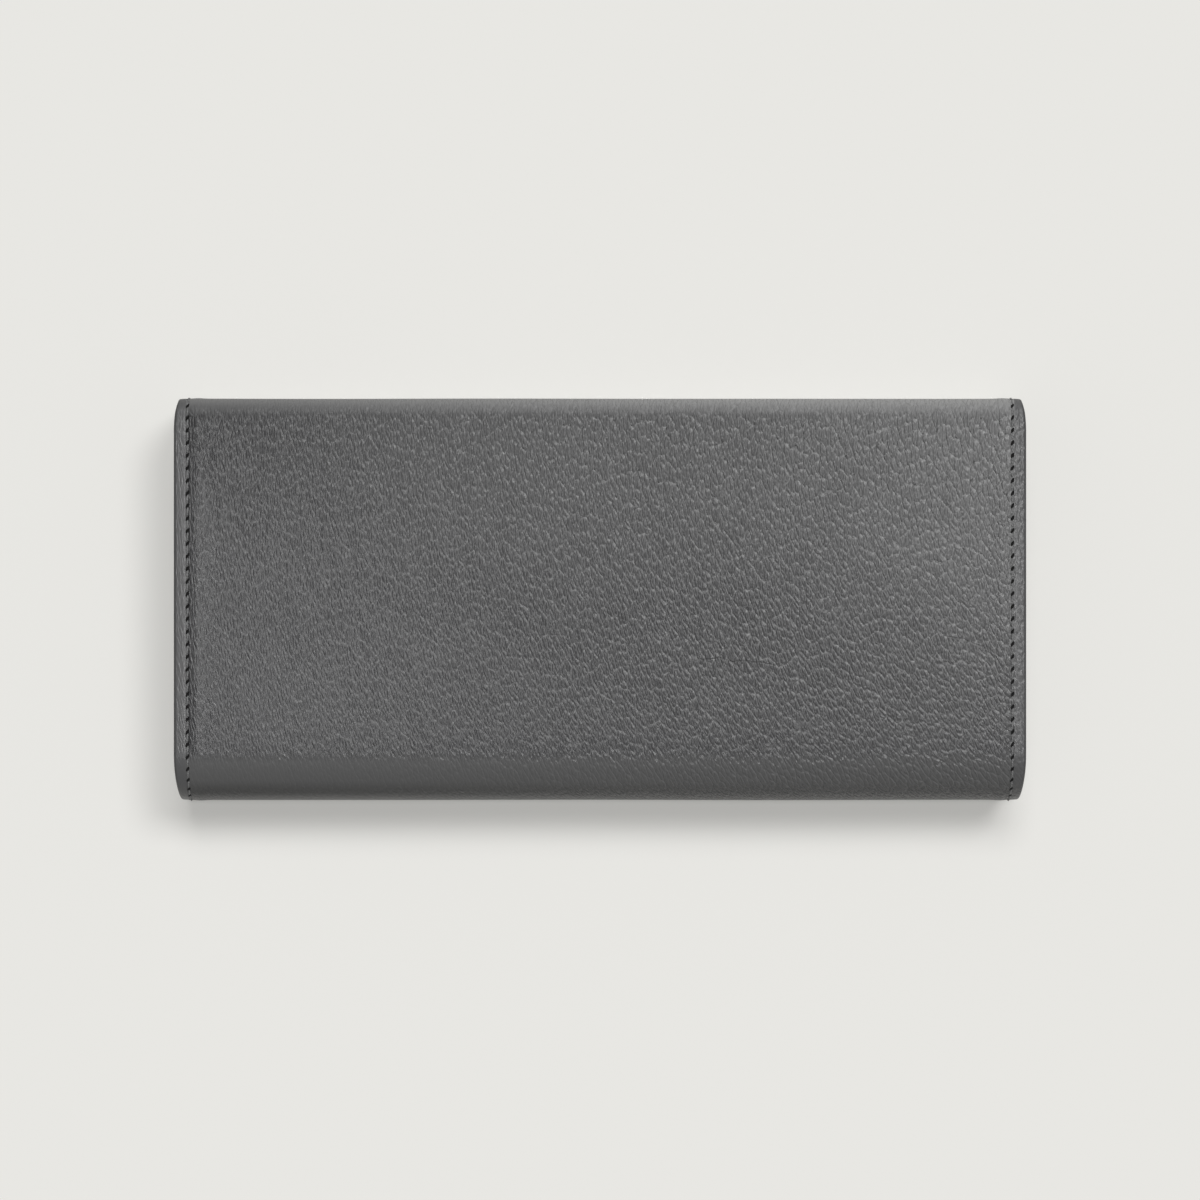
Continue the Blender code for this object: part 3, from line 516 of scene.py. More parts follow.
def tumbled_grain_group():
    """Tumbled grain: cells drawn long, each a pebble, with finer ones on them and a fine pore noise.

    The height of a pebble is a rim that rises from its cell's edge, times a tilt that grows across
    the cell. Flank is the rim on its high side, which faces the light, and masks a painted highlight;
    Hollow is the rim on its low side, and masks painted shade. The cells lean by the square of the
    distance below the flap fold, and grow to the right.
    """
    tree, given, result = new_group(
        "tumbled_grain",
        [("Vector", "NodeSocketVector", None), ("Pebble", "NodeSocketFloat", PEBBLE_WIDTH),
         ("Stretch", "NodeSocketFloat", PEBBLE_STRETCH), ("Depth", "NodeSocketFloat", GRAIN_DEPTH)],
        [("Height", "NodeSocketFloat"), ("Flank", "NodeSocketFloat"), ("Hollow", "NodeSocketFloat"),
         ("Pore", "NodeSocketFloat")],
    )
    place = put(tree, "ShaderNodeSeparateXYZ", s0=given["Vector"]).outputs
    below = work_out(tree, "SUBTRACT", back_high.y, place["Y"])
    near = work_out(tree, "MINIMUM", below, LEAN_LENGTH)
    past = times(tree, work_out(tree, "SUBTRACT", below, near), 2 * LEAN_LENGTH)
    curve = times_plus(tree, near, near, past)
    slant = times(tree, curve, times_plus(tree, place["X"], LEAN_GAIN_RIGHT, LEAN_GAIN))
    lean = times_plus(tree, below, LEAN_EVEN, slant)
    across = work_out(tree, "SUBTRACT", place["X"], lean)
    grow = times_plus(tree, place["X"], PEBBLE_GROWTH, 1.0)
    across = times(tree, across, grow)
    square = times_plus(tree, place["X"], ROW_SLANT, place["Y"])
    along = times(tree, square, given["Stretch"])
    leaned = put(tree, "ShaderNodeCombineXYZ", X=across, Y=along).outputs[0]
    wander = noise(tree, leaned, WANDER_SCALE, 3.0, "2D")["Color"]
    wander = put(tree, "ShaderNodeVectorMath", {"operation": "SUBTRACT"}, s0=wander,
                 s1=(0.5, 0.5, 0.5)).outputs[0]
    wander = put(tree, "ShaderNodeVectorMath", {"operation": "SCALE"}, s0=wander,
                 Scale=WANDER_REACH).outputs[0]
    leaned = put(tree, "ShaderNodeVectorMath", {"operation": "ADD"}, s0=leaned, s1=wander).outputs[0]
    pore = noise(tree, given["Vector"], PORE_SCALE, 1.0, "2D")[0]
    patch = noise(tree, leaned, PATCH_SCALE, 3.0, "2D")[0]
    patch = ramp(tree, patch, *PATCH_SPAN)
    height = times(tree, pore, PORE_SHARE)
    painted_highlight = 0.0
    painted_hollow_shade = 0.0
    for finer, rim, share, painted_grain_light_share in PEBBLES:
        scale = work_out(tree, "DIVIDE", finer, given["Pebble"])
        edge = put(tree, "ShaderNodeTexVoronoi", {"voronoi_dimensions": "2D", "feature": "DISTANCE_TO_EDGE"},
                   Vector=leaned, Scale=scale).outputs["Distance"]
        seed = put(tree, "ShaderNodeTexVoronoi", {"voronoi_dimensions": "2D"}, Vector=leaned,
                   Scale=scale).outputs["Position"]
        own = put(tree, "ShaderNodeVectorMath", {"operation": "SUBTRACT"}, s0=leaned, s1=seed).outputs[0]
        own = put(tree, "ShaderNodeSeparateXYZ", s0=own).outputs
        tilt = times_plus(tree, own["Y"], TILT_TURN, own["X"])
        tilt = times_plus(tree, times(tree, tilt, scale), TILT_SLOPE, TILT_LEVEL)
        pebble = times(tree, ramp(tree, edge, 0.0, rim), tilt)
        height = times_plus(tree, times(tree, pebble, patch), share, height)
        rim_share = ramp(tree, edge, *RIM_SPAN)
        painted_highlight = times_plus(tree, times(tree, rim_share, ramp(tree, tilt, *FLANK_HIGHLIGHT_SPAN)), painted_grain_light_share, painted_highlight)
        painted_hollow_shade = times_plus(tree, times(tree, rim_share, ramp(tree, tilt, *HOLLOW_SHADE_SPAN)), painted_grain_light_share, painted_hollow_shade)
    tree.links.new(times(tree, height, given["Depth"]), result["Height"])
    tree.links.new(times(tree, painted_highlight, patch), result["Flank"])
    tree.links.new(painted_hollow_shade, result["Hollow"])
    tree.links.new(pore, result["Pore"])
    return tree


HOLE_LEAN = math.radians(24)
HOLE_NARROW = 0.00030
HOLE_TALL = 0.00062
HOLE_RIM = (0.8, 1.2, 1.0, 0.0)


def needle_hole_group():
    """Slanting needle holes, one at each half pitch along both seams: ellipses on turned axes."""
    tree, given, result = new_group(
        "needle_holes", [("Vector", "NodeSocketVector", None)], [("Hole", "NodeSocketFloat")],
    )
    place = put(tree, "ShaderNodeSeparateXYZ", s0=given["Vector"]).outputs
    side = work_out(tree, "SIGN", place["X"])
    across = times_plus(tree, side, -stitch_x, place["X"])
    step = work_out(tree, "FRACT", work_out(tree, "DIVIDE", place["Y"], STITCH_PITCH))
    along = times(tree, work_out(tree, "SUBTRACT", step, 0.5), STITCH_PITCH)
    narrow = times_plus(tree, across, math.cos(HOLE_LEAN), times(tree, along, -math.sin(HOLE_LEAN)))
    tall = times_plus(tree, across, math.sin(HOLE_LEAN), times(tree, along, math.cos(HOLE_LEAN)))
    narrow, tall = [
        work_out(tree, "POWER", work_out(tree, "ABSOLUTE", work_out(tree, "DIVIDE", part, length)), 2.0)
        for part, length in ((narrow, HOLE_NARROW), (tall, HOLE_TALL))
    ]
    hole = ramp(tree, work_out(tree, "ADD", narrow, tall), *HOLE_RIM)
    tree.links.new(hole, result["Hole"])
    return tree


tumbled_grain = tumbled_grain_group()
needle_holes = needle_hole_group()
# Painted shade, for the lower left.
LEATHER_PAINTED_SHADE = (0.003, 0.003, 0.004, 1)
LEATHER_COLOUR = (0.045, 0.045, 0.046, 1)
# Painted light, for the upper right and the upper middle of the back.
LEATHER_PAINTED_LIGHT = (0.144, 0.144, 0.144, 1)
# Painted light, for a band before the body fold.
FOLD_BAND_PAINTED_LIGHT = (0.086, 0.086, 0.086, 1)
# A painted highlight, for the pebbles' flanks towards the light.
FLANK_PAINTED_HIGHLIGHT = (0.250, 0.250, 0.250, 1)
# A painted highlight, for the creases.
CREASE_PAINTED_HIGHLIGHT = (0.270, 0.270, 0.269, 1)
MARGIN_COLOUR = (0.078, 0.078, 0.079, 1)
PAINT_COLOUR = (0.040, 0.040, 0.041, 1)
FLESH_COLOUR = (0.078, 0.076, 0.073, 1)
# Painted shade, for the needle holes and the low sides of the pebbles.
PAINTED_SHADE_COLOUR = (0.002, 0.002, 0.002, 1)

# Each wrinkle: where it starts and where it ends, across and along the sheet.
WRINKLES = (((0.0185, -0.0126), (0.0425, -0.0148)), ((0.0740, -0.0070), (0.0885, -0.0112)),
            ((0.0715, 0.0086), (0.0800, 0.0088)))
WRINKLE_WIDTH = 0.00030
WRINKLE_DEPTH = 0.00006
WRINKLE_FADE = 0.007
WRINKLE_WANDER = 0.0022
WRINKLE_SCALE = 240.0


def wrinkle_mask(tree, place, wander, ends):
    """A thin line from one end to the other, fading at both, that a noise pushes to and fro."""
    (first_x, first_y), (last_x, last_y) = ends
    slope = (last_y - first_y) / (last_x - first_x)
    line = times_plus(tree, place["X"], slope, first_y - slope * first_x)
    line = times_plus(tree, work_out(tree, "SUBTRACT", wander, 0.5), WRINKLE_WANDER, line)
    off = work_out(tree, "ABSOLUTE", work_out(tree, "SUBTRACT", place["Y"], line))
    mask = ramp(tree, off, 0.0, WRINKLE_WIDTH, 1.0, 0.0)
    mask = times(tree, mask, ramp(tree, place["X"], first_x, first_x + WRINKLE_FADE))
    return times(tree, mask, ramp(tree, place["X"], last_x - WRINKLE_FADE, last_x, 1.0, 0.0))


# Where the grain, its roughness and its painted light change, as spans along the sheet or away from a
# crease's middle. Among them are a band of painted light before the body fold and a painted
# highlight along each crease.
FOLD_SPAN = (fold_y - 0.8 * fold_radius, fold_y + 0.5 * fold_radius, 1.0, 0.0)
PAINTED_GRAIN_LIGHT_FOLD = (fold_y - 0.3 * fold_radius, fold_y + 1.3 * fold_radius, 0.4, 1.0)
FOLD_BAND_START = (fold_y - 0.0115, fold_y - 0.0062)
FOLD_BAND_END = (fold_y - 0.0028, fold_y + 0.001, 1.0, 0.0)
CREASE_PLACE = spine_length / 2 + 0.0012
CREASE_SPAN = (0.0030, 0.0058, 1.0, 0.0)
# A painted highlight along each crease, stronger to the right.
CREASE_HIGHLIGHT_SPAN = (0.0008, 0.0050, 1.0, 0.0)
CREASE_HIGHLIGHT_ACROSS = (-0.9 * half_width, 0.6 * half_width, 0.5, 1.0)
# How strong the grain is: least at the lower left, and fuller over the fold and towards the crease.
GRAIN_ALONG = 0.5
GRAIN_SPAN = (-half_width, half_width * 0.4, 0.88, 3.3)
GRAIN_MARGIN = 0.35
GRAIN_FOLD = 0.6
GRAIN_CREASE = (0.005, crease_y, 1.0, 1.6)
# How much the painted highlight and shade on the pebbles fade over the creases, and how strong each is.
PAINTED_GRAIN_LIGHT_CREASE = -0.7
FLANK_HIGHLIGHT_SHARE = 0.18
HOLLOW_SHADE_SHARE = 0.31
# Painted light and shade: the colour is painted darker at the lower left and paler at the upper right,
# with a slight random mottle of the leather's own colour.
PAINTED_GRADIENT_LEVEL = -0.035
PAINTED_GRADIENT_ACROSS = 4.0
PAINTED_GRADIENT_ALONG = 2.5
PAINTED_GRADIENT_CORNER = 40.0
MOTTLE = 0.12
MOTTLE_SCALE = 34.0
PAINTED_SHADE_SPAN = (-0.5, 0.05)
PAINTED_LIGHT_SPAN = (0.05, 0.65)
# A painted highlight over the upper part of the back, strongest in the middle and towards the top.
TOP_HIGHLIGHT_PLACE = 0.01
TOP_HIGHLIGHT_ACROSS = (0.0, 0.13, 0.5, 0.0)
TOP_HIGHLIGHT_ALONG = (-0.005, 0.040)
MARGIN_SHARE = 0.9
LEATHER_GLOSS = 0.38
PORE_SPAN = (0.25, 0.75)
LEATHER_ROUGH = (0.31, 0.39)
FLESH_ROUGH = 0.3
CREASE_ROUGH = 0.16
HOLE_DEPTH = 0.0004


def outer_leather_material():
    """Grey full-grain leather with a semi-matt finish, painted edges and a brushed flesh side.

    The painted highlight and painted shade on the grain fade over the body fold and the creases, and the
    grain on the margins. The colour also carries painted light and shade: darker at the lower left, paler
    at the upper right and over the upper middle, a band before the body fold and a highlight along each
    crease.
    """
    material, shader = new_material("tumbled_leather")
    shader.inputs["Specular IOR Level"].default_value = LEATHER_GLOSS
    tree = material.node_tree
    flat = put(tree, "ShaderNodeUVMap", {"uv_map": "sheet"}).outputs[0]
    edge, inside = [
        put(tree, "ShaderNodeAttribute", {"attribute_name": label}).outputs["Fac"]
        for label in ("edge", "inside")
    ]
    grain = put(tree, "ShaderNodeGroup", {"node_tree": tumbled_grain}, Vector=flat)
    hole = put(tree, "ShaderNodeGroup", {"node_tree": needle_holes}, Vector=flat).outputs["Hole"]
    place = put(tree, "ShaderNodeSeparateXYZ", s0=flat).outputs
    off_middle = work_out(tree, "ABSOLUTE", place["X"])
    margin = ramp(tree, off_middle, stitch_x + SEAM_WIDTH, stitch_x + 2 * SEAM_WIDTH)
    over_fold = ramp(tree, place["Y"], *FOLD_SPAN)
    off_crease = work_out(tree, "ABSOLUTE", work_out(tree, "SUBTRACT", place["Y"], spine_middle_v))
    off_crease = work_out(tree, "ABSOLUTE", work_out(tree, "SUBTRACT", off_crease, CREASE_PLACE))
    over_crease = ramp(tree, off_crease, *CREASE_SPAN)
    # A painted highlight along each crease, stronger to the right.
    pale = ramp(tree, off_crease, *CREASE_HIGHLIGHT_SPAN)
    pale = times(tree, pale, ramp(tree, place["X"], *CREASE_HIGHLIGHT_ACROSS))
    # A band of painted light on the back just before the body fold.
    stretched = ramp(tree, place["Y"], *FOLD_BAND_START)
    stretched = times(tree, stretched, ramp(tree, place["Y"], *FOLD_BAND_END))

    vivid = ramp(tree, times_plus(tree, place["Y"], GRAIN_ALONG, place["X"]), *GRAIN_SPAN)
    plain = work_out(tree, "MAXIMUM", edge, inside)
    plain = work_out(tree, "MAXIMUM", plain, times(tree, margin, GRAIN_MARGIN))
    vivid = times(tree, vivid, work_out(tree, "SUBTRACT", 1.0, plain))
    painted_grain_light = times(tree, ramp(tree, place["Y"], *PAINTED_GRAIN_LIGHT_FOLD), vivid)
    painted_grain_light = times(tree, painted_grain_light, times_plus(tree, over_crease, PAINTED_GRAIN_LIGHT_CREASE, 1.0))
    vivid = times(tree, vivid, times_plus(tree, over_fold, GRAIN_FOLD, 1.0))
    vivid = times(tree, vivid, ramp(tree, place["Y"], *GRAIN_CREASE))

    # The colour runs from painted shade at the lower left to painted light at the upper right, with a random
    # mottle.
    mottle = noise(tree, flat, MOTTLE_SCALE, 4.0, "2D")[0]
    painted_gradient_and_mottle = times_plus(tree, place["X"], PAINTED_GRADIENT_ACROSS, PAINTED_GRADIENT_LEVEL)
    upward = times_plus(tree, place["X"], PAINTED_GRADIENT_CORNER, PAINTED_GRADIENT_ALONG)
    painted_gradient_and_mottle = times_plus(tree, place["Y"], upward, painted_gradient_and_mottle)
    painted_gradient_and_mottle = times_plus(tree, work_out(tree, "SUBTRACT", mottle, 0.5), MOTTLE, painted_gradient_and_mottle)
    colour = blend_colour(tree, ramp(tree, painted_gradient_and_mottle, *PAINTED_SHADE_SPAN), LEATHER_PAINTED_SHADE, LEATHER_COLOUR)
    colour = blend_colour(tree, ramp(tree, painted_gradient_and_mottle, *PAINTED_LIGHT_SPAN), colour, LEATHER_PAINTED_LIGHT)
    # A painted highlight over the upper middle of the back.
    top_highlight = work_out(tree, "ABSOLUTE", work_out(tree, "ADD", place["X"], -TOP_HIGHLIGHT_PLACE))
    top_highlight = times(tree, ramp(tree, top_highlight, *TOP_HIGHLIGHT_ACROSS), ramp(tree, place["Y"], *TOP_HIGHLIGHT_ALONG))
    colour = blend_colour(tree, top_highlight, colour, LEATHER_PAINTED_LIGHT)
    # Painted light in a band before the body fold.
    colour = blend_colour(tree, stretched, colour, FOLD_BAND_PAINTED_LIGHT)
    # A painted highlight along each crease.
    colour = blend_colour(tree, pale, colour, CREASE_PAINTED_HIGHLIGHT)
    # A painted highlight on each pebble's rim on its high side, towards the light, and painted shade on its
    # low side.
    painted_highlight = times(tree, grain.outputs["Flank"], times(tree, painted_grain_light, FLANK_HIGHLIGHT_SHARE))
    painted_hollow_shade = times(tree, grain.outputs["Hollow"], times(tree, painted_grain_light, HOLLOW_SHADE_SHARE))
    colour = blend_colour(tree, work_out(tree, "MINIMUM", painted_hollow_shade, 1.0), colour, PAINTED_SHADE_COLOUR)
    colour = blend_colour(tree, work_out(tree, "MINIMUM", painted_highlight, 1.0), colour, FLANK_PAINTED_HIGHLIGHT)
    colour = blend_colour(tree, times(tree, margin, MARGIN_SHARE), colour, MARGIN_COLOUR)
    # Painted edges, the flesh side, and painted shade in the needle holes.
    for share, paint in ((inside, FLESH_COLOUR), (edge, PAINT_COLOUR), (hole, PAINTED_SHADE_COLOUR)):
        colour = blend_colour(tree, share, colour, paint)
    tree.links.new(colour, shader.inputs["Base Color"])

    rough = ramp(tree, grain.outputs["Pore"], *PORE_SPAN, *LEATHER_ROUGH)
    rough = times_plus(tree, inside, FLESH_ROUGH, rough)
    rough = times_plus(tree, over_crease, CREASE_ROUGH, rough)
    rough = work_out(tree, "MAXIMUM", rough, hole)
    tree.links.new(rough, shader.inputs["Roughness"])
    height = times(tree, grain.outputs["Height"], vivid)
    height = times_plus(tree, hole, -HOLE_DEPTH, height)
    wander = noise(tree, flat, WRINKLE_SCALE, 3.0, "2D")[0]
    for ends in WRINKLES:
        height = times_plus(tree, wrinkle_mask(tree, place, wander, ends), -WRINKLE_DEPTH, height)
    emboss(tree, shader, height)
    return material


outer_leather = outer_leather_material()
CREASE_ROWS = 20
INNER_COLUMNS = 40
ROW_PLAY = 0.000002
crease_rows = np.linspace(0, crease_length, CREASE_ROWS)
leather_rows = spaced(
    front_edge_v, flap_edge_v, LEATHER_ROW, crease_y + crease_rows, spine_end_v + crease_rows,
    round_end(front_edge_v, 1, LEATHER / 2), round_end(flap_edge_v, -1, LEATHER / 2),
    round_end(flap_edge_v, -1, FLAP_CORNER), round_end(front_edge_v, 1, FRONT_CORNER),
    [fold_cut_v, spine_middle_v],
)
leather_shares = (sheet_columns(), np.linspace(-1, 1, INNER_COLUMNS))

# For each joint, a place on one side of it and a place on the other side.
FOLD_BEND_START = 0.0015
FOLD_BEND_END = 0.007
FOLD_BEND_RISE = 0.0026
CREASE_BEND_START = crease_y - 0.0005
CREASE_BEND_OUT = spine_high.y + 0.0011
CREASE_BEND_DROP = 0.0045
fold_bend = {"start": (0, fold_y + FOLD_BEND_START, front_low.z),
             "end": (0, fold_y - FOLD_BEND_END, front_low.z + FOLD_BEND_RISE)}
upper_bend = {"start": (0, CREASE_BEND_START, back_high.z),
              "end": (0, CREASE_BEND_OUT, back_high.z - CREASE_BEND_DROP)}
lower_bend = {"start": (0, CREASE_BEND_OUT, CREASE_BEND_DROP), "end": (0, CREASE_BEND_START, 0)}
for name, first, last, free, bodies, span, nodes in (
    ("front_leather", front_edge_v, fold_cut_v, (True, False), ("front_leaf", "back"), fold_bend,
     ["front_cover"]),
    ("back_leather", fold_cut_v, spine_middle_v, (False, False), ("back", "spine"), upper_bend,
     ["back_cover"]),
    ("flap_leather", spine_middle_v, flap_edge_v, (False, True), ("spine", "flap"), lower_bend,
     ["flap_cover", "spine_cover"]),
):
    rows = leather_rows[(leather_rows >= first - ROW_PLAY) & (leather_rows <= last + ROW_PLAY)]
    leather = ply(name, rows, sheet_section(rows), sheet_half_width, 0, LEATHER, leather_shares, free,
                  rise=leather_rise)
    leather.data.materials.append(outer_leather)
    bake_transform(leather)
    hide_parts(*nodes)


# The thread: waxed polyester in the leather's grey, one sunken stitch between each two needle holes,
# all the way along both sides. The same stitches show on the linings inside.
THREAD_RADIUS = 0.00021
THREAD_RISE = 0.00019
THREAD_LEAN = 0.00010
THREAD_RINGS = 7
THREAD_SIDES = 6
THREAD_END = 0.35
THREAD_TAPER = 0.6
THREAD_COLOUR = (0.15, 0.15, 0.15)
STITCH_SHARE = 0.92
STITCH_ARCH = 1.5
STITCH_SINK = 0.9
TWIST_SCALE = 900.0
TWIST_DEPTH = 0.00004
# Painted shade, for the grooves of the twist.
THREAD_GROOVE_SHADE = (0.10, 0.10, 0.101, 1)
THREAD_LIGHT = (0.18, 0.18, 0.18, 1)


def ring_piece(name, points):
    """Closed rods from an array of rods, rings and points: walls between the rings, flat at both ends."""
    here = np.arange(points.size // 3).reshape(points.shape[:3])
    after = np.roll(here, -1, axis=2)
    walls = np.stack([here[:, :-1], after[:, :-1], after[:, 1:], here[:, 1:]], axis=-1).reshape(-1, 4)
    ends = np.concatenate([here[:, 0, ::-1], here[:, -1]])
    piece = mesh_piece(name, points, walls.tolist() + ends.tolist())
    work = bmesh.new()
    work.from_mesh(piece.data)
    bmesh.ops.recalc_face_normals(work, faces=work.faces[:])
    work.to_mesh(piece.data)
    work.free()
    piece.data.shade_smooth()
    return piece


def sew(name, seams, pitch, radius):
    """Stitches as short bent capsules. Each rises as half a sine over its length, thins towards its
    ends and leans a little across. A seam is its stitch centres, a rule for the place and the
    outward direction at any length along it, and the direction across it."""
    share = np.linspace(0, 1, THREAD_RINGS)[None, :, None]
    turn = np.linspace(0, 2 * math.pi, THREAD_SIDES, endpoint=False)[None, None, :]
    arch = np.sin(math.pi * share)
    thick = radius * (THREAD_END + (1 - THREAD_END) * arch ** THREAD_TAPER)
    stitches = []
    for centres, place, across in seams:
        along = centres[:, None, None] + (share - 0.5) * STITCH_SHARE * pitch + 0 * turn
        points, outward = place(along)
        sideways = THREAD_LEAN * (2 * share - 1) + thick * np.cos(turn)
        lift = THREAD_RISE * radius / THREAD_RADIUS * (STITCH_ARCH * arch - STITCH_SINK)
        lift = lift + thick * np.sin(turn)
        stitches.append(points + sideways[..., None] * np.array(across, float) + lift[..., None] * outward)
    return ring_piece(name, np.concatenate(stitches))


def centres_between(first, last, pitch):
    """Stitch centres at whole pitches from the sheet's start, between two places."""
    return np.arange(math.ceil(first / pitch), last / pitch) * pitch


def side_seam(side):
    """A rule for a stitch's place on the outer face along one side seam."""
    def place(v):
        y, z, out_y, out_z = sheet_section(v)
        rise = leather_rise(side * stitch_x, v)
        points = np.stack([side * stitch_x + 0 * v, y + out_y * rise, z + out_z * rise], axis=-1)
        return points, np.stack([0 * v, out_y, out_z], axis=-1)
    return place


def straight_seam(start, end, outward):
    """A rule for a stitch's place along a straight line."""
    start = np.array(start, float)
    way = np.array(end, float) - start
    way = way / np.linalg.norm(way)

    def place(s):
        return start + s[..., None] * way, np.array(outward, float) + 0 * s[..., None]
    return place


def thread_material():
    """Waxed twisted thread: a fine slanting ply on a mid grey, with painted shade in the grooves of the
    twist.
    """
    material, shader = new_material("waxed_thread", THREAD_COLOUR, 0.5)
    tree = material.node_tree
    place = put(tree, "ShaderNodeTexCoord").outputs["Object"]
    twist = put(tree, "ShaderNodeTexWave", {"bands_direction": "DIAGONAL"}, Vector=place, Scale=TWIST_SCALE,
                Distortion=1.0).outputs["Fac"]
    tree.links.new(blend_colour(tree, twist, THREAD_GROOVE_SHADE, THREAD_LIGHT), shader.inputs["Base Color"])
    emboss(tree, shader, times(tree, twist, TWIST_DEPTH))
    return material


thread = thread_material()
SIDES = (-1, 1)
for name, first, last, bodies, span in (
    ("front_stitches", front_edge_v + STITCH_INSET, fold_cut_v, ("front_leaf", "back"), fold_bend),
    ("back_stitches", fold_cut_v, spine_middle_v, ("back", "spine"), upper_bend),
    ("flap_stitches", spine_middle_v, flap_edge_v - FLAP_CORNER, ("spine", "flap"), lower_bend),
):
    centres = centres_between(first, last, STITCH_PITCH)
    row = sew(name, [(centres, side_seam(side), (1, 0, 0)) for side in SIDES], STITCH_PITCH, THREAD_RADIUS)
    row.data.materials.append(thread)
    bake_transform(row)


# The boards: thin bonded fibre board under the linings of back, flap and front, skived at its edges.
# It keeps each panel flat. Its solids have the right shape already.
FIBRE_SCALE = 1600.0
FIBRE_DISTORTION = 2.5
FIBRE_SPAN = (0.35, 0.7)
FIBRE_DEPTH = 0.00005
BOARD_ROUGH = 0.85
BOARD_COLOUR = (0.42, 0.38, 0.32)
FIBRE_DARK = (0.34, 0.30, 0.25, 1)
FIBRE_LIGHT = (0.50, 0.46, 0.40, 1)


def board_material():
    """Pressed board: pale fibres in all directions over a speckle."""
    material, shader = new_material("fibre_board", BOARD_COLOUR, BOARD_ROUGH)
    tree = material.node_tree
    place = put(tree, "ShaderNodeTexCoord").outputs["Object"]
    fibres = noise(tree, place, FIBRE_SCALE, 5.0, Distortion=FIBRE_DISTORTION)[0]
    colour = blend_colour(tree, ramp(tree, fibres, *FIBRE_SPAN), FIBRE_DARK, FIBRE_LIGHT)
    tree.links.new(colour, shader.inputs["Base Color"])
    emboss(tree, shader, times(tree, fibres, FIBRE_DEPTH))
    return material


def dress(node, material):
    """Give a solid another material."""
    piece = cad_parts[node]
    piece.data.materials.clear()
    piece.data.materials.append(material)


fibre_board = board_material()
for node in ("back_stiffener", "flap_stiffener", "front_stiffener"):
    dress(node, fibre_board)


# The linings: woven twill on the back and the front, and thin smooth calf over the creases and the
# flap, glued behind the leather and caught by the side seams, where they are pulled down to it.
lining_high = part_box("back_lining")[1]
flap_lining_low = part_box("flap_lining")[0]
snap_low, snap_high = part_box("snap_socket")
front_lining_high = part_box("front_lining")[1]
LINING = 0.0004
LINING_DEPTH = 0.0018
SPINE_LIFT = 0.00045
SEAM_PULL = 0.00042
BOARD_EDGE = 0.0912
SEAM_PULL_LENGTH = 0.0007
LINING_ROW = 0.0014
LINING_END = 0.0385
SPINE_FADE = LINING_END / 10
LINING_CORNER = 0.0077
SOCKET_HOLE = 0.0040
SOCKET_ROW = 0.0005
LINING_COLUMN = 1 / 20
LINING_SIDE = 0.0028
TWILL_THREAD = 0.00030
TWILL_DEPTH = 0.00005
TWILL_CHANGE = (-0.5, 0.5)
# Painted shade between the threads, and the threads' colour.
TWILL_GAP_SHADE = (0.018, 0.018, 0.019, 1)
TWILL_LIGHT = (0.075, 0.075, 0.078, 1)
CLOTH_ROUGH = 0.85
CLOTH_SHEEN = 0.15
CLOTH_FADE = (0.7, 1.0)
DRIFT_SPAN = (0.3, 0.7)
CLOTH_DRIFT_SCALE = 60.0
CALF_DRIFT_SCALE = 45.0
CALF_PEBBLE = 0.00045
CALF_STRETCH = 0.8
CALF_DEPTH = 0.00003
CALF_DARK = (0.075, 0.075, 0.077, 1)
CALF_LIGHT = (0.095, 0.095, 0.097, 1)
CALF_EDGE = 0.8
CALF_ROUGH = (0.38, 0.52)

lining_half = lining_high.x
front_lining_v = front_end_v - (front_lining_high.y - fold_y)
flap_lining_v = flap_start_v + crease_y - flap_lining_low.y


def lining_shift(x, v):
    """How far a lining lies nearer the leather: over the spine, and outside the boards' edges."""
    to_spine = smooth_step((v - LINING_END) / (spine_start_v - LINING_END))
    from_spine = smooth_step((flap_start_v + SPINE_FADE - v) / (spine_start_v - LINING_END))
    spine = SPINE_LIFT * to_spine * from_spine
    return -np.maximum(spine, SEAM_PULL * smooth_step((np.abs(x) - BOARD_EDGE) / SEAM_PULL_LENGTH))


def lining_half_width(v):
    """Half a lining's width, with the flap's round corners."""
    return lining_half - corner_loss(flap_lining_v - v, LINING_CORNER)


def punch(piece, centre, radius):
    """Cut a hole through a flat piece: drop its faces within a radius and close the hole's wall."""
    work = bmesh.new()
    work.from_mesh(piece.data)
    within = [face for face in work.faces if (face.calc_center_median() - centre).xy.length < radius]
    bmesh.ops.delete(work, geom=within, context="FACES")
    bmesh.ops.bridge_loops(work, edges=[edge for edge in work.edges if edge.is_boundary])
    work.to_mesh(piece.data)
    work.free()


def weave_group():
    """A twill weave: two sets of round threads, and a slanting wave chooses which one is on top."""
    tree, given, result = new_group(
        "twill_weave", [("Vector", "NodeSocketVector", None), ("Thread", "NodeSocketFloat", TWILL_THREAD)],
        [("Height", "NodeSocketFloat"), ("Over", "NodeSocketFloat")],
    )
    scaled = put(tree, "ShaderNodeVectorMath", {"operation": "SCALE"}, s0=given["Vector"])
    tree.links.new(work_out(tree, "DIVIDE", math.pi, given["Thread"]), scaled.inputs["Scale"])
    turns = put(tree, "ShaderNodeSeparateXYZ", s0=scaled.outputs[0]).outputs
    warp = work_out(tree, "ABSOLUTE", work_out(tree, "SINE", turns["X"]))
    weft = work_out(tree, "ABSOLUTE", work_out(tree, "SINE", turns["Y"]))
    over = work_out(tree, "SINE", work_out(tree, "ADD", turns["X"], turns["Y"]))
    over = ramp(tree, over, *TWILL_CHANGE)
    both = put(tree, "ShaderNodeMix", s0=over, s2=weft, s3=warp).outputs[0]
    tree.links.new(both, result["Height"])
    tree.links.new(over, result["Over"])
    return tree


twill_weave = weave_group()


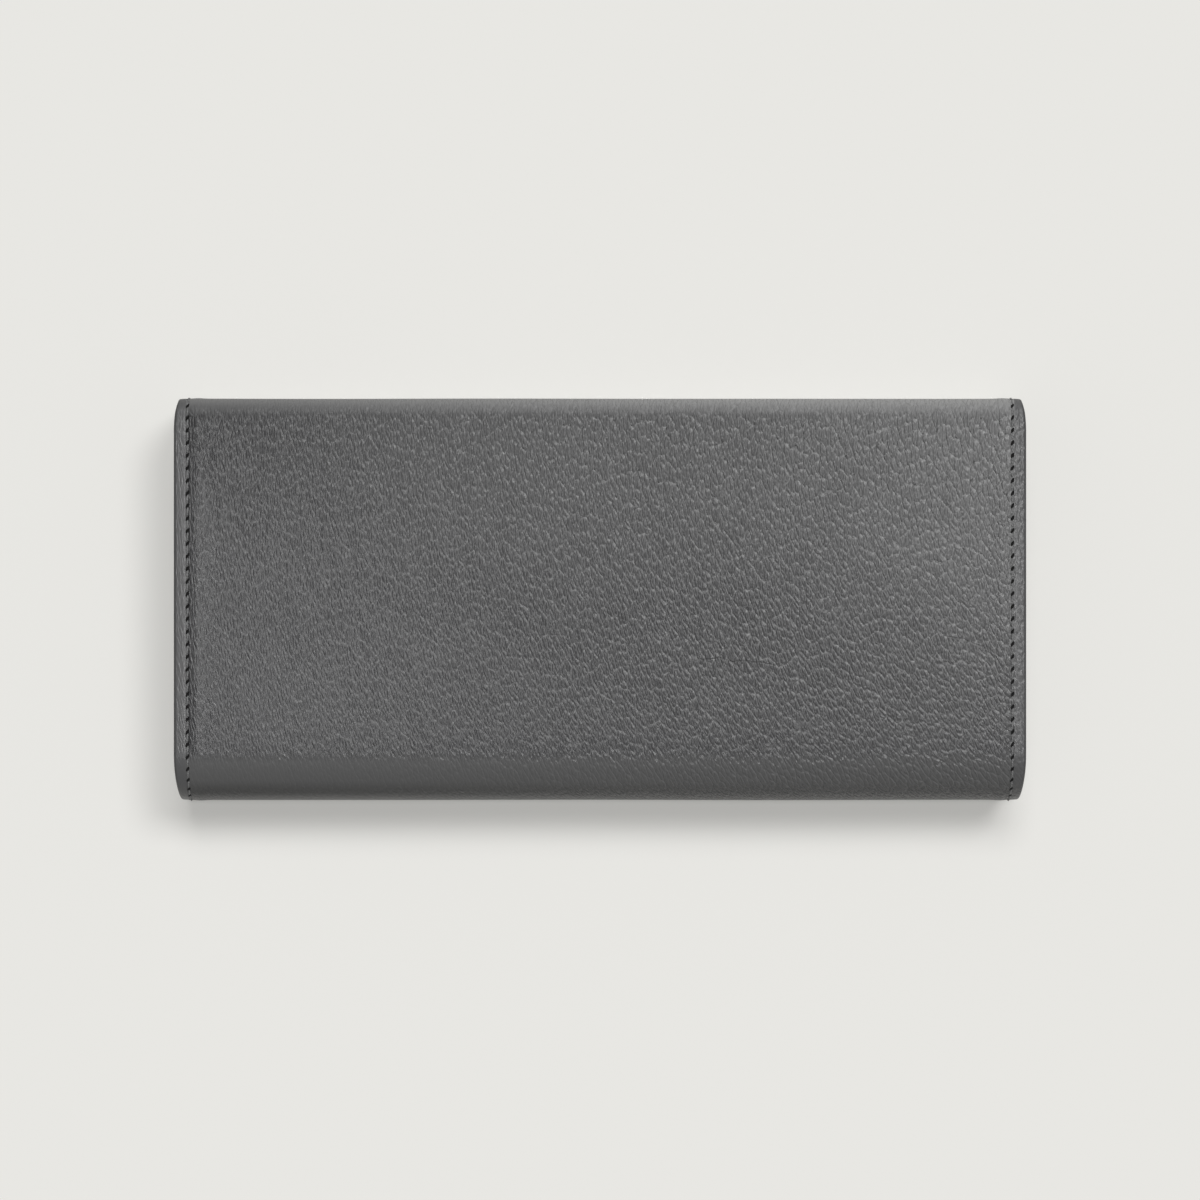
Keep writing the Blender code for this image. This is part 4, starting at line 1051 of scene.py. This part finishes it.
def woven_material(name, dark, light, thread_width, depth):
    """Woven cloth on its own flat map: painted shade between the threads, with a little colour drift."""
    material, shader = new_material(name, light[:3], CLOTH_ROUGH)
    tree = material.node_tree
    flat = put(tree, "ShaderNodeUVMap", {"uv_map": "sheet"}).outputs[0]
    weave = put(tree, "ShaderNodeGroup", {"node_tree": twill_weave}, Vector=flat,
                Thread=thread_width).outputs
    drift = noise(tree, flat, CLOTH_DRIFT_SCALE, 4.0)[0]
    share = times(tree, weave["Height"], ramp(tree, drift, *DRIFT_SPAN, *CLOTH_FADE))
    tree.links.new(blend_colour(tree, share, dark, light), shader.inputs["Base Color"])
    emboss(tree, shader, times(tree, weave["Height"], depth))
    shader.inputs["Sheen Weight"].default_value = CLOTH_SHEEN
    return material


def calf_material():
    """Smooth lining calf: fine grain, slightly polished high places, darker burnished edges."""
    material, shader = new_material("lining_calf")
    tree = material.node_tree
    flat = put(tree, "ShaderNodeUVMap", {"uv_map": "sheet"}).outputs[0]
    edge = put(tree, "ShaderNodeAttribute", {"attribute_name": "edge"}).outputs["Fac"]
    grain = put(tree, "ShaderNodeGroup", {"node_tree": tumbled_grain}, Vector=flat, Pebble=CALF_PEBBLE,
                Stretch=CALF_STRETCH, Depth=CALF_DEPTH).outputs
    drift = noise(tree, flat, CALF_DRIFT_SCALE, 5.0)[0]
    colour = blend_colour(tree, ramp(tree, drift, *DRIFT_SPAN), CALF_DARK, CALF_LIGHT)
    colour = blend_colour(tree, times(tree, edge, CALF_EDGE), colour, PAINT_COLOUR)
    tree.links.new(colour, shader.inputs["Base Color"])
    tree.links.new(ramp(tree, grain["Pore"], *PORE_SPAN, *CALF_ROUGH), shader.inputs["Roughness"])
    emboss(tree, shader, grain["Height"])
    return material


lining_twill = woven_material("lining_twill", TWILL_GAP_SHADE, TWILL_LIGHT, TWILL_THREAD, TWILL_DEPTH)
lining_calf = calf_material()
near_socket = np.arange(-SOCKET_HOLE, SOCKET_HOLE, SOCKET_ROW)
near_side = lining_half - LINING_SIDE * np.linspace(0, 1, ROUND_ROWS)
lining_columns = spaced(-lining_half, lining_half, lining_half * LINING_COLUMN, near_socket, -near_side,
                        near_side)
lining_shares = (lining_columns / lining_half, lining_columns / lining_half)
socket_v = flap_start_v + crease_y - (snap_low.y + snap_high.y) / 2
for name, first, last, free, span_bodies, span, nodes, cloth, slot in (
    ("front_lining_twill", front_lining_v, fold_cut_v, (True, False), ("front_leaf", "back"), fold_bend,
     ["front_lining"], lining_twill, "lining_fabric"),
    ("back_lining_twill", fold_cut_v, LINING_END, (False, True), ("back",), None, ["back_lining"],
     lining_twill, "lining_fabric"),
    ("crease_lining_calf", LINING_END, spine_middle_v, (True, False), ("back", "spine"), upper_bend,
     ["spine_lining"], lining_calf, "lining_leather"),
    ("flap_lining_calf", spine_middle_v, flap_lining_v, (False, True), ("spine", "flap"), lower_bend,
     ["flap_lining"], lining_calf, "lining_leather"),
):
    rows = spaced(first, last, LINING_ROW, crease_y + crease_rows, spine_end_v + crease_rows,
                  round_end(first, 1, LINING / 2), round_end(last, -1, LINING / 2),
                  round_end(last, -1, LINING_CORNER), socket_v + near_socket)
    layer = ply(name, rows, sheet_section(rows), lining_half_width, LINING_DEPTH, LINING, lining_shares, free,
                under=lining_shift)
    if "flap_lining" in nodes:
        punch(layer, snap_low + (snap_high - snap_low) / 2, SOCKET_HOLE)
    layer.data.materials.append(cloth)
    if span:
        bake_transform(layer)
    else:
        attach(layer, *span_bodies)
    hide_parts(*nodes)

inner_depth = LINING_DEPTH + LINING - SEAM_PULL


def inner_seam(side):
    """A rule for a stitch's place on a lining's inner face along one side seam."""
    def place(v):
        y, z, out_y, out_z = sheet_section(v)
        points = np.stack([side * stitch_x + 0 * v, y - out_y * inner_depth, z - out_z * inner_depth],
                          axis=-1)
        return points, np.stack([0 * v, -out_y, -out_z], axis=-1)
    return place


INNER_THREAD = 0.00017
for name, first, last, body in (
    ("front_inner_stitches", front_lining_v + STITCH_INSET, front_end_v, "front_leaf"),
    ("back_inner_stitches", fold_y, LINING_END, "back"),
    ("flap_inner_stitches", flap_start_v, flap_lining_v - STITCH_INSET, "flap"),
):
    centres = centres_between(first, last, STITCH_PITCH)
    row = sew(name, [(centres, inner_seam(side), (1, 0, 0)) for side in SIDES], STITCH_PITCH, INNER_THREAD)
    row.data.materials.append(thread)
    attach(row, body)


# The card slots: four stepped rows of calf on the back lining, each a strip with a turned top edge
# and a creased line under it, sewn down the middle and along both sides to make eight slots.
SLOT = 0.00035
SLOT_CREASE_DROP = 0.0012
SLOT_CREASE_WIDTH = 0.00022
SLOT_CREASE_DEPTH = 0.00010
SLOT_CORNER = 0.0015
SLOT_SEAM_INSET = 0.0016
SLOT_SEAM_SHARE = 0.6
SLOT_COLUMNS = 12
SLOT_INNER_COLUMNS = 61
SLOT_STITCH = 0.0022
SLOT_START = SLOT_STITCH * 0.75
SLOT_THREAD = 0.00014
slot_shares = (np.linspace(-1, 1, SLOT_COLUMNS), np.linspace(-1, 1, SLOT_INNER_COLUMNS))


def slot_panel(name, node, first, last, free_at_first):
    """One pocket strip on the sheet's flat, its top edge at the first or the last place along it.

    The creased line is a narrow bell-shaped dip under the top edge, and the strip sinks a little
    towards its seams.
    """
    low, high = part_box(node)
    half = high.x
    top_v = first if free_at_first else last
    way = 1 if free_at_first else -1

    def press(x, v):
        line = SLOT_CREASE_DEPTH * np.exp(-((np.abs(v - top_v) - SLOT_CREASE_DROP) / SLOT_CREASE_WIDTH) ** 2)
        seam = np.exp(-((half - np.abs(x) - SLOT_SEAM_INSET) / SLOT_CREASE_DROP) ** 2) + np.exp(
            -(x / SLOT_CREASE_DROP) ** 2)
        return -line - SLOT_CREASE_DEPTH * SLOT_SEAM_SHARE * seam

    rows = spaced(first, last, LINING_ROW, round_end(first, 1, SLOT / 2), round_end(last, -1, SLOT / 2),
                  round_end(top_v, way, SLOT_CORNER),
                  top_v + way * (SLOT_CREASE_DROP + SLOT_CREASE_WIDTH * np.linspace(-2, 2, BEND_ROWS)))
    depth = back_high.z - high.z if node != "front_slip_pocket" else low.z - front_low.z
    panel = ply(name, rows, sheet_section(rows), lambda v: half - corner_loss(np.abs(v - top_v), SLOT_CORNER),
                depth, SLOT, slot_shares, press=press)
    panel.data.materials.append(lining_calf)
    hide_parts(node)
    return panel


CARD_ROWS = 4
slot_seams = []
for number in range(1, CARD_ROWS + 1):
    node = "card_slot_row_" + str(number)
    low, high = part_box(node)
    panel = slot_panel("card_slots_" + str(number), node, low.y, high.y, False)
    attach(panel, "back")
    next_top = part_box("card_slot_row_" + str(number + 1))[1].y if number < CARD_ROWS else low.y
    span = high.y - next_top - SLOT_STITCH / 2
    centres = np.arange(SLOT_START, span, SLOT_STITCH)
    for x in (SLOT_SEAM_INSET - high.x, 0, high.x - SLOT_SEAM_INSET):
        seam_top = (x, high.y, low.z)
        slot_seams.append((centres, straight_seam(seam_top, (x, low.y, low.z), (0, 0, -1)), (1, 0, 0)))
slot_stitches = sew("card_slot_stitches", slot_seams, SLOT_STITCH, SLOT_THREAD)
slot_stitches.data.materials.append(thread)
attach(slot_stitches, "back")


# The slip pocket: one long strip of the same calf on the front lining. Its top edge is open, and a
# line of stitches down each short side holds it.
pocket_low, pocket_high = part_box("front_slip_pocket")
pocket_top_v = front_end_v - (pocket_high.y - fold_y)
pocket_end_v = front_end_v - (pocket_low.y - fold_y)
slip_pocket = slot_panel("slip_pocket", "front_slip_pocket", pocket_top_v, pocket_end_v, True)
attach(slip_pocket, "front_leaf")
centres = np.arange(SLOT_START, pocket_high.y - pocket_low.y, SLOT_STITCH)
pocket_seams = []
for x in (SLOT_SEAM_INSET - pocket_high.x, pocket_high.x - SLOT_SEAM_INSET):
    rule = straight_seam((x, pocket_high.y, pocket_high.z), (x, pocket_low.y, pocket_high.z), (0, 0, 1))
    pocket_seams.append((centres, rule, (1, 0, 0)))
pocket_stitches = sew("slip_pocket_stitches", pocket_seams, SLOT_STITCH, SLOT_THREAD)
pocket_stitches.data.materials.append(thread)
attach(pocket_stitches, "front_leaf")


# The coin bag: one wall of calf folded at the bottom, its two sides drawn together and sewn, and its
# top edges sewn to the zip's tapes.
bag_low, bag_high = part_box("coin_bag")
COIN_WALL = 0.0006
BAG_CORNER = 0.0018
BAG_ROW = 0.0012
BAG_PINCH = 0.0045
BAG_SEAM_INSET = 0.0014
BAG_SEAM_PLAY = 0.00004
BAG_CROWN = 0.00012
BAG_FLAT_SHARE = 0.93
BAG_COLUMNS = 41
BAG_SIDE_COLUMNS = 12
leaf_middle = (bag_low.z + bag_high.z) / 2
bag_half = bag_high.x


def rounded_line(corners, radius, step):
    """A line through corners with round bends: length along it, both places, and the left-hand side.

    Straight stretches keep one direction. A bend turns it evenly, as length over radius.
    """
    corners = np.array(corners, float)
    ways = np.diff(corners, axis=0)
    lengths = np.hypot(ways[:, 0], ways[:, 1])
    angles = np.unwrap(np.arctan2(ways[:, 1], ways[:, 0]))
    cuts = np.concatenate([[0], np.abs(np.tan(np.diff(angles) / 2)) * radius, [0]])
    places, turns = [], []
    for i, (way, angle) in enumerate(zip(ways / lengths[:, None], angles)):
        count = max(int((lengths[i] - cuts[i] - cuts[i + 1]) / step), 1)
        share = np.linspace(cuts[i], lengths[i] - cuts[i + 1], count + 1)[:, None]
        places.append(corners[i] + share * way)
        turns.append(np.full(count + 1, angle))
        if i + 1 < len(ways):
            side = np.sign(angles[i + 1] - angle)
            bend_turn = np.linspace(angle, angles[i + 1], BEND_ROWS)[1:-1]
            hub = places[-1][-1] + side * radius * np.array([-math.sin(angle), math.cos(angle)])
            arm = side * radius * np.stack([np.sin(bend_turn), -np.cos(bend_turn)], axis=1)
            places.append(hub + arm)
            turns.append(bend_turn)
    place = np.concatenate(places)
    turn = np.concatenate(turns)
    along = np.concatenate([[0], np.cumsum(np.hypot(*np.diff(place, axis=0).T))])
    return along, (place[:, 0], place[:, 1], -np.sin(turn), np.cos(turn))


def pinch(points):
    """Draw both walls together towards the sides: each moves in smoothly by the room inside it."""
    share = smooth_step((np.abs(points[..., 0]) - bag_half + BAG_PINCH) / (BAG_PINCH - BAG_SEAM_INSET))
    off = points[..., 2] - leaf_middle
    room = bag_high.z - leaf_middle - COIN_WALL
    met = np.sign(off) * np.maximum(np.abs(off) - room, 0) + BAG_SEAM_PLAY * off / room
    points[..., 2] = leaf_middle + off * (1 - share) + met * share
    return points


wall_middle = bag_high.z - leaf_middle - COIN_WALL / 2
bag_line, bag_section = rounded_line(
    [(bag_high.y, leaf_middle - wall_middle), (bag_low.y + COIN_WALL / 2, leaf_middle - wall_middle),
     (bag_low.y + COIN_WALL / 2, leaf_middle + wall_middle), (bag_high.y, leaf_middle + wall_middle)],
    BAG_CORNER, BAG_ROW,
)
side_shares = 1 - BAG_PINCH / bag_half * np.linspace(1, 0, BAG_SIDE_COLUMNS)
flat_shares = np.linspace(-BAG_FLAT_SHARE, BAG_FLAT_SHARE, BAG_COLUMNS)
bag_shares = np.concatenate([-side_shares[::-1], flat_shares, side_shares])
bag_length = bag_line[-1]


def bag_crown(x, v):
    """The walls stand out a little between their edges, as half a sine each way."""
    return BAG_CROWN * np.cos(x / bag_half * math.pi / 2) * np.sin(2 * math.pi * v / bag_length) ** 2


coin_bag = ply("coin_bag_calf", bag_line, bag_section, lambda v: bag_half + 0 * v, -COIN_WALL / 2, COIN_WALL,
               (bag_shares, bag_shares), rise=bag_crown, bend=pinch)
coin_bag.data.materials.append(lining_calf)
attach(coin_bag, "coin_leaf")
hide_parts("coin_bag")

seam_x = bag_half - BAG_SEAM_INSET
pinched = np.array([[seam_x, 0, bag_high.z]])
seam_z = pinch(pinched)[0, 2]
bag_seams = []
for x in (-seam_x, seam_x):
    for z, outward in ((seam_z, 1), (2 * leaf_middle - seam_z, -1)):
        rule = straight_seam((x, bag_high.y, z), (x, bag_low.y, z), (0, 0, outward))
        centres = np.arange(SLOT_STITCH, bag_high.y - bag_low.y - SLOT_STITCH, SLOT_STITCH)
        bag_seams.append((centres, rule, (1, 0, 0)))
bag_stitches = sew("coin_bag_stitches", bag_seams, SLOT_STITCH, SLOT_THREAD)
bag_stitches.data.materials.append(thread)
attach(bag_stitches, "coin_leaf")


# The gussets: four strips of calf folded lengthwise, each glued along one edge to a leaf and along
# the other to the coin bag's side. The fold is tucked inwards, and its top edge is cut slanting.
GUSSET = 0.0004
GUSSET_FOLD = 0.0009
GUSSET_ROW = 0.0006
GUSSET_SLANT = 0.0028
GUSSET_CURVE = 1.5
GUSSET_GAP = 0.00018
GUSSET_APEX = 0.38
GUSSET_COLUMNS = 50
gusset_shares = (np.linspace(-1, 1, GUSSET_COLUMNS), np.linspace(-1, 1, GUSSET_COLUMNS))
for place, bag_side in (("front", -1), ("back", 1)):
    for hand, side in (("left", -1), ("right", 1)):
        node = "gusset_" + place + "_" + hand
        low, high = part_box(node)
        outer_x = side * max(abs(low.x), abs(high.x))
        apex_x = side * min(abs(low.x), abs(high.x)) + side * GUSSET / 2
        leaf_z = low.z + GUSSET / 2 if place == "front" else high.z - GUSSET / 2
        bag_z = leaf_middle + bag_side * (seam_z - leaf_middle + GUSSET / 2 + GUSSET_GAP)
        apex_z = leaf_z * (1 - GUSSET_APEX) + bag_z * GUSSET_APEX
        corners = [(outer_x, leaf_z), (apex_x, apex_z), (side * seam_x, bag_z)]
        line, section = rounded_line(corners, GUSSET_FOLD, GUSSET_ROW)
        to_fold = np.abs(section[0] - outer_x) / abs(outer_x - apex_x)
        top = high.y - GUSSET_SLANT * to_fold ** GUSSET_CURVE
        centre = ((top + low.y) / 2)[:, None]
        half_run = (top - low.y) / 2
        gusset = ply(node + "_calf", line, section, lambda v: half_run[:, None], -GUSSET / 2, GUSSET,
                     gusset_shares, centre=centre, plane="XZ")
        gusset.data.materials.append(lining_calf)
        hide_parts(node)
        if place == "front":
            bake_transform(gusset)
        else:
            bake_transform(gusset)


# The zip's tapes: polyester twill, laid flat beside the teeth and turned down over the bag's walls,
# where a line of lock stitches holds each one.
tape_low, tape_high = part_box("zip_chain_back")
slider_low, slider_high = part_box("zip_slider")
TAPE = 0.0004
TAPE_BEND = 0.0007
TAPE_CLOSED = 0.0004
TAPE_OPEN = 0.0012
SHOULDER = 0.0035
TAPE_ROW = 0.0004
TAPE_SEAM_RISE = 0.0016
TAPE_COLUMN = 0.004
TAPE_THREAD = 0.00042
TAPE_WEAVE_DEPTH = 0.00010
# Painted shade between the threads, and the threads' colour.
TAPE_GAP_SHADE = (0.012, 0.012, 0.013, 1)
TAPE_LIGHT = (0.058, 0.058, 0.061, 1)
CHAIN_RISE = 0.00185
slider_place = (slider_low.x + slider_high.x) / 2
zip_y = slider_low.y + CHAIN_RISE
skirt = tape_high.z - TAPE / 2 - leaf_middle
tape_half = tape_high.x


def tape_edge(x):
    """How far a tape's edge lies from the chain's middle: close when shut, apart past the slider."""
    share = np.clip((x - slider_place) / (2 * SHOULDER) + 0.5, 0, 1)
    return TAPE_CLOSED + (TAPE_OPEN - TAPE_CLOSED) * share


zip_tape = woven_material("zip_tape_weave", TAPE_GAP_SHADE, TAPE_LIGHT, TAPE_THREAD, TAPE_WEAVE_DEPTH)
tape_places = spaced(-tape_half, tape_half, TAPE_COLUMN,
                     slider_place + SHOULDER * np.linspace(-1, 1, BEND_ROWS))
tape_shares = (tape_places / tape_half, tape_places / tape_half)
for name, side in (("front", -1), ("back", 1)):
    def part_tape(points):
        """Push the tape's edge away from the middle past the slider, less and less towards its bend."""
        off = np.abs(points[..., 2] - leaf_middle)
        share = 1 - np.clip((off - TAPE_CLOSED) / (skirt - TAPE_CLOSED), 0, 1)
        points[..., 2] += side * share * (tape_edge(points[..., 0]) - TAPE_CLOSED)
        return points

    corners = [(zip_y, leaf_middle + side * TAPE_CLOSED), (zip_y, leaf_middle + side * skirt),
               (tape_low.y, leaf_middle + side * skirt)]
    line, section = rounded_line(corners, TAPE_BEND, TAPE_ROW)
    tape = ply("zip_tape_" + name, line, section, lambda v: tape_half + 0 * v, -TAPE / 2, TAPE, tape_shares,
               bend=part_tape)
    tape.data.materials.append(zip_tape)
    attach(tape, "coin_leaf")
    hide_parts("zip_chain_" + name)
    face = leaf_middle + side * (skirt + TAPE / 2)
    seam_y = tape_low.y + TAPE_SEAM_RISE
    rule = straight_seam((-tape_half, seam_y, face), (tape_half, seam_y, face), (0, 0, side))
    centres = np.arange(SLOT_STITCH, 2 * tape_half - SLOT_STITCH, SLOT_STITCH)
    row = sew("zip_tape_stitches_" + name, [(centres, rule, (0, 1, 0))], SLOT_STITCH, SLOT_THREAD)
    row.data.materials.append(thread)
    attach(row, "coin_leaf")


# The teeth: two rows of nickel-plated teeth, each clamped over its tape's edge, waisted behind its
# nose, and set half a pitch off the other row so that they mesh behind the slider.
TOOTH_PITCH = 0.0022
# Each ring of a tooth, from root to nose: how far behind the tape's edge it lies, and its shares of
# the full width and height.
TOOTH_STATIONS = ((0.0007, 0.55, 0.80), (0.00062, 0.95, 1.0), (0.0001, 1.0, 1.0), (-0.00015, 0.72, 0.98),
                  (-0.00035, 0.80, 0.92), (-0.00055, 0.62, 0.80), (-0.00065, 0.35, 0.55))
TOOTH_HALF_WIDTH = 0.00042
TOOTH_HALF_HEIGHT = 0.0009
TOOTH_SIDES = 8
TOOTH_SHARP = math.radians(38)
CHAIN_START = 0.072


def tooth_rows(name, side, first_x):
    """All teeth of one tape: rings of a rounded square, sized at each station from root to nose."""
    place = np.arange(first_x, slider_place + SHOULDER, TOOTH_PITCH)[:, None, None]
    station = np.array(TOOTH_STATIONS)
    turn = (np.arange(TOOTH_SIDES) + 0.5) * 2 * math.pi / TOOTH_SIDES
    square = np.stack([np.cos(turn), np.sin(turn)]) / np.max(np.abs(np.stack([np.cos(turn), np.sin(turn)])))
    x = place + TOOTH_HALF_WIDTH * station[None, :, 1, None] * square[0]
    y = zip_y + TOOTH_HALF_HEIGHT * station[None, :, 2, None] * square[1] + 0 * place
    z = leaf_middle + side * (tape_edge(place) + station[None, :, 0, None] + 0 * square[0])
    piece = ring_piece(name, np.stack([x, y, z], axis=-1))
    piece.data.set_sharp_from_angle(angle=TOOTH_SHARP)
    return piece


NICKEL_COLOUR = (0.62, 0.61, 0.59)
NICKEL_LIGHT = (0.66, 0.65, 0.63, 1)
NICKEL_DARK = (0.56, 0.55, 0.52, 1)
NICKEL_PLAIN = 0.2
NICKEL_ROUGH = (0.14, 0.30)
CLOUD_SPAN = (0.35, 0.7)
GLOSS_SPAN = (0.3, 0.75)
CLOUD_SCALE = 420.0
HAIRLINE_SCALE = 2600.0
HAIRLINE_STRETCH = 9
HAIRLINE_DEPTH = 0.000004


def nickel_material():
    """Polished nickel plate: faint hairlines, cloudy patches of handling, and a soft uneven gloss."""
    material, shader = new_material("nickel_plate", NICKEL_COLOUR, NICKEL_PLAIN, 1.0)
    tree = material.node_tree
    place = put(tree, "ShaderNodeTexCoord").outputs["Object"]
    cloud = noise(tree, place, CLOUD_SCALE, 5.0)[0]
    stretched = put(tree, "ShaderNodeMapping", Vector=place)
    stretched.inputs["Scale"].default_value = (1, HAIRLINE_STRETCH, 1)
    hairline = noise(tree, stretched.outputs[0], HAIRLINE_SCALE, 3.0)[0]
    colour = blend_colour(tree, ramp(tree, cloud, *CLOUD_SPAN), NICKEL_LIGHT, NICKEL_DARK)
    tree.links.new(colour, shader.inputs["Base Color"])
    tree.links.new(ramp(tree, cloud, *GLOSS_SPAN, *NICKEL_ROUGH), shader.inputs["Roughness"])
    emboss(tree, shader, times(tree, hairline, HAIRLINE_DEPTH))
    return material


nickel = nickel_material()
for name, side, first_x in (("front", -1, -CHAIN_START), ("back", 1, TOOTH_PITCH / 2 - CHAIN_START)):
    teeth = tooth_rows("zip_teeth_" + name, side, first_x)
    teeth.data.materials.append(nickel)
    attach(teeth, "coin_leaf")


# The slider, its pull, the stops and the press stud: struck from brass sheet, tumbled so that their
# edges are round, and nickel plated. Their solids carry their shapes.
METAL_EDGE = 0.00012
METAL_JOIN = METAL_EDGE / 100
METAL_SHARP = math.radians(40)
METAL_NODES = (
    "zip_slider", "zip_pull", "zip_bottom_stop", "zip_top_stop_front", "zip_top_stop_back", "snap_cap",
    "snap_socket", "snap_spring", "snap_stud", "snap_post",
)
for node in METAL_NODES:
    dress(node, nickel)
    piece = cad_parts[node]
    join = piece.modifiers.new("join", "WELD")
    join.merge_threshold = METAL_JOIN
    soften = piece.modifiers.new("soften", "BEVEL")
    soften.width = METAL_EDGE
    soften.segments = 2
    soften.limit_method = "ANGLE"
    soften.angle_limit = METAL_SHARP
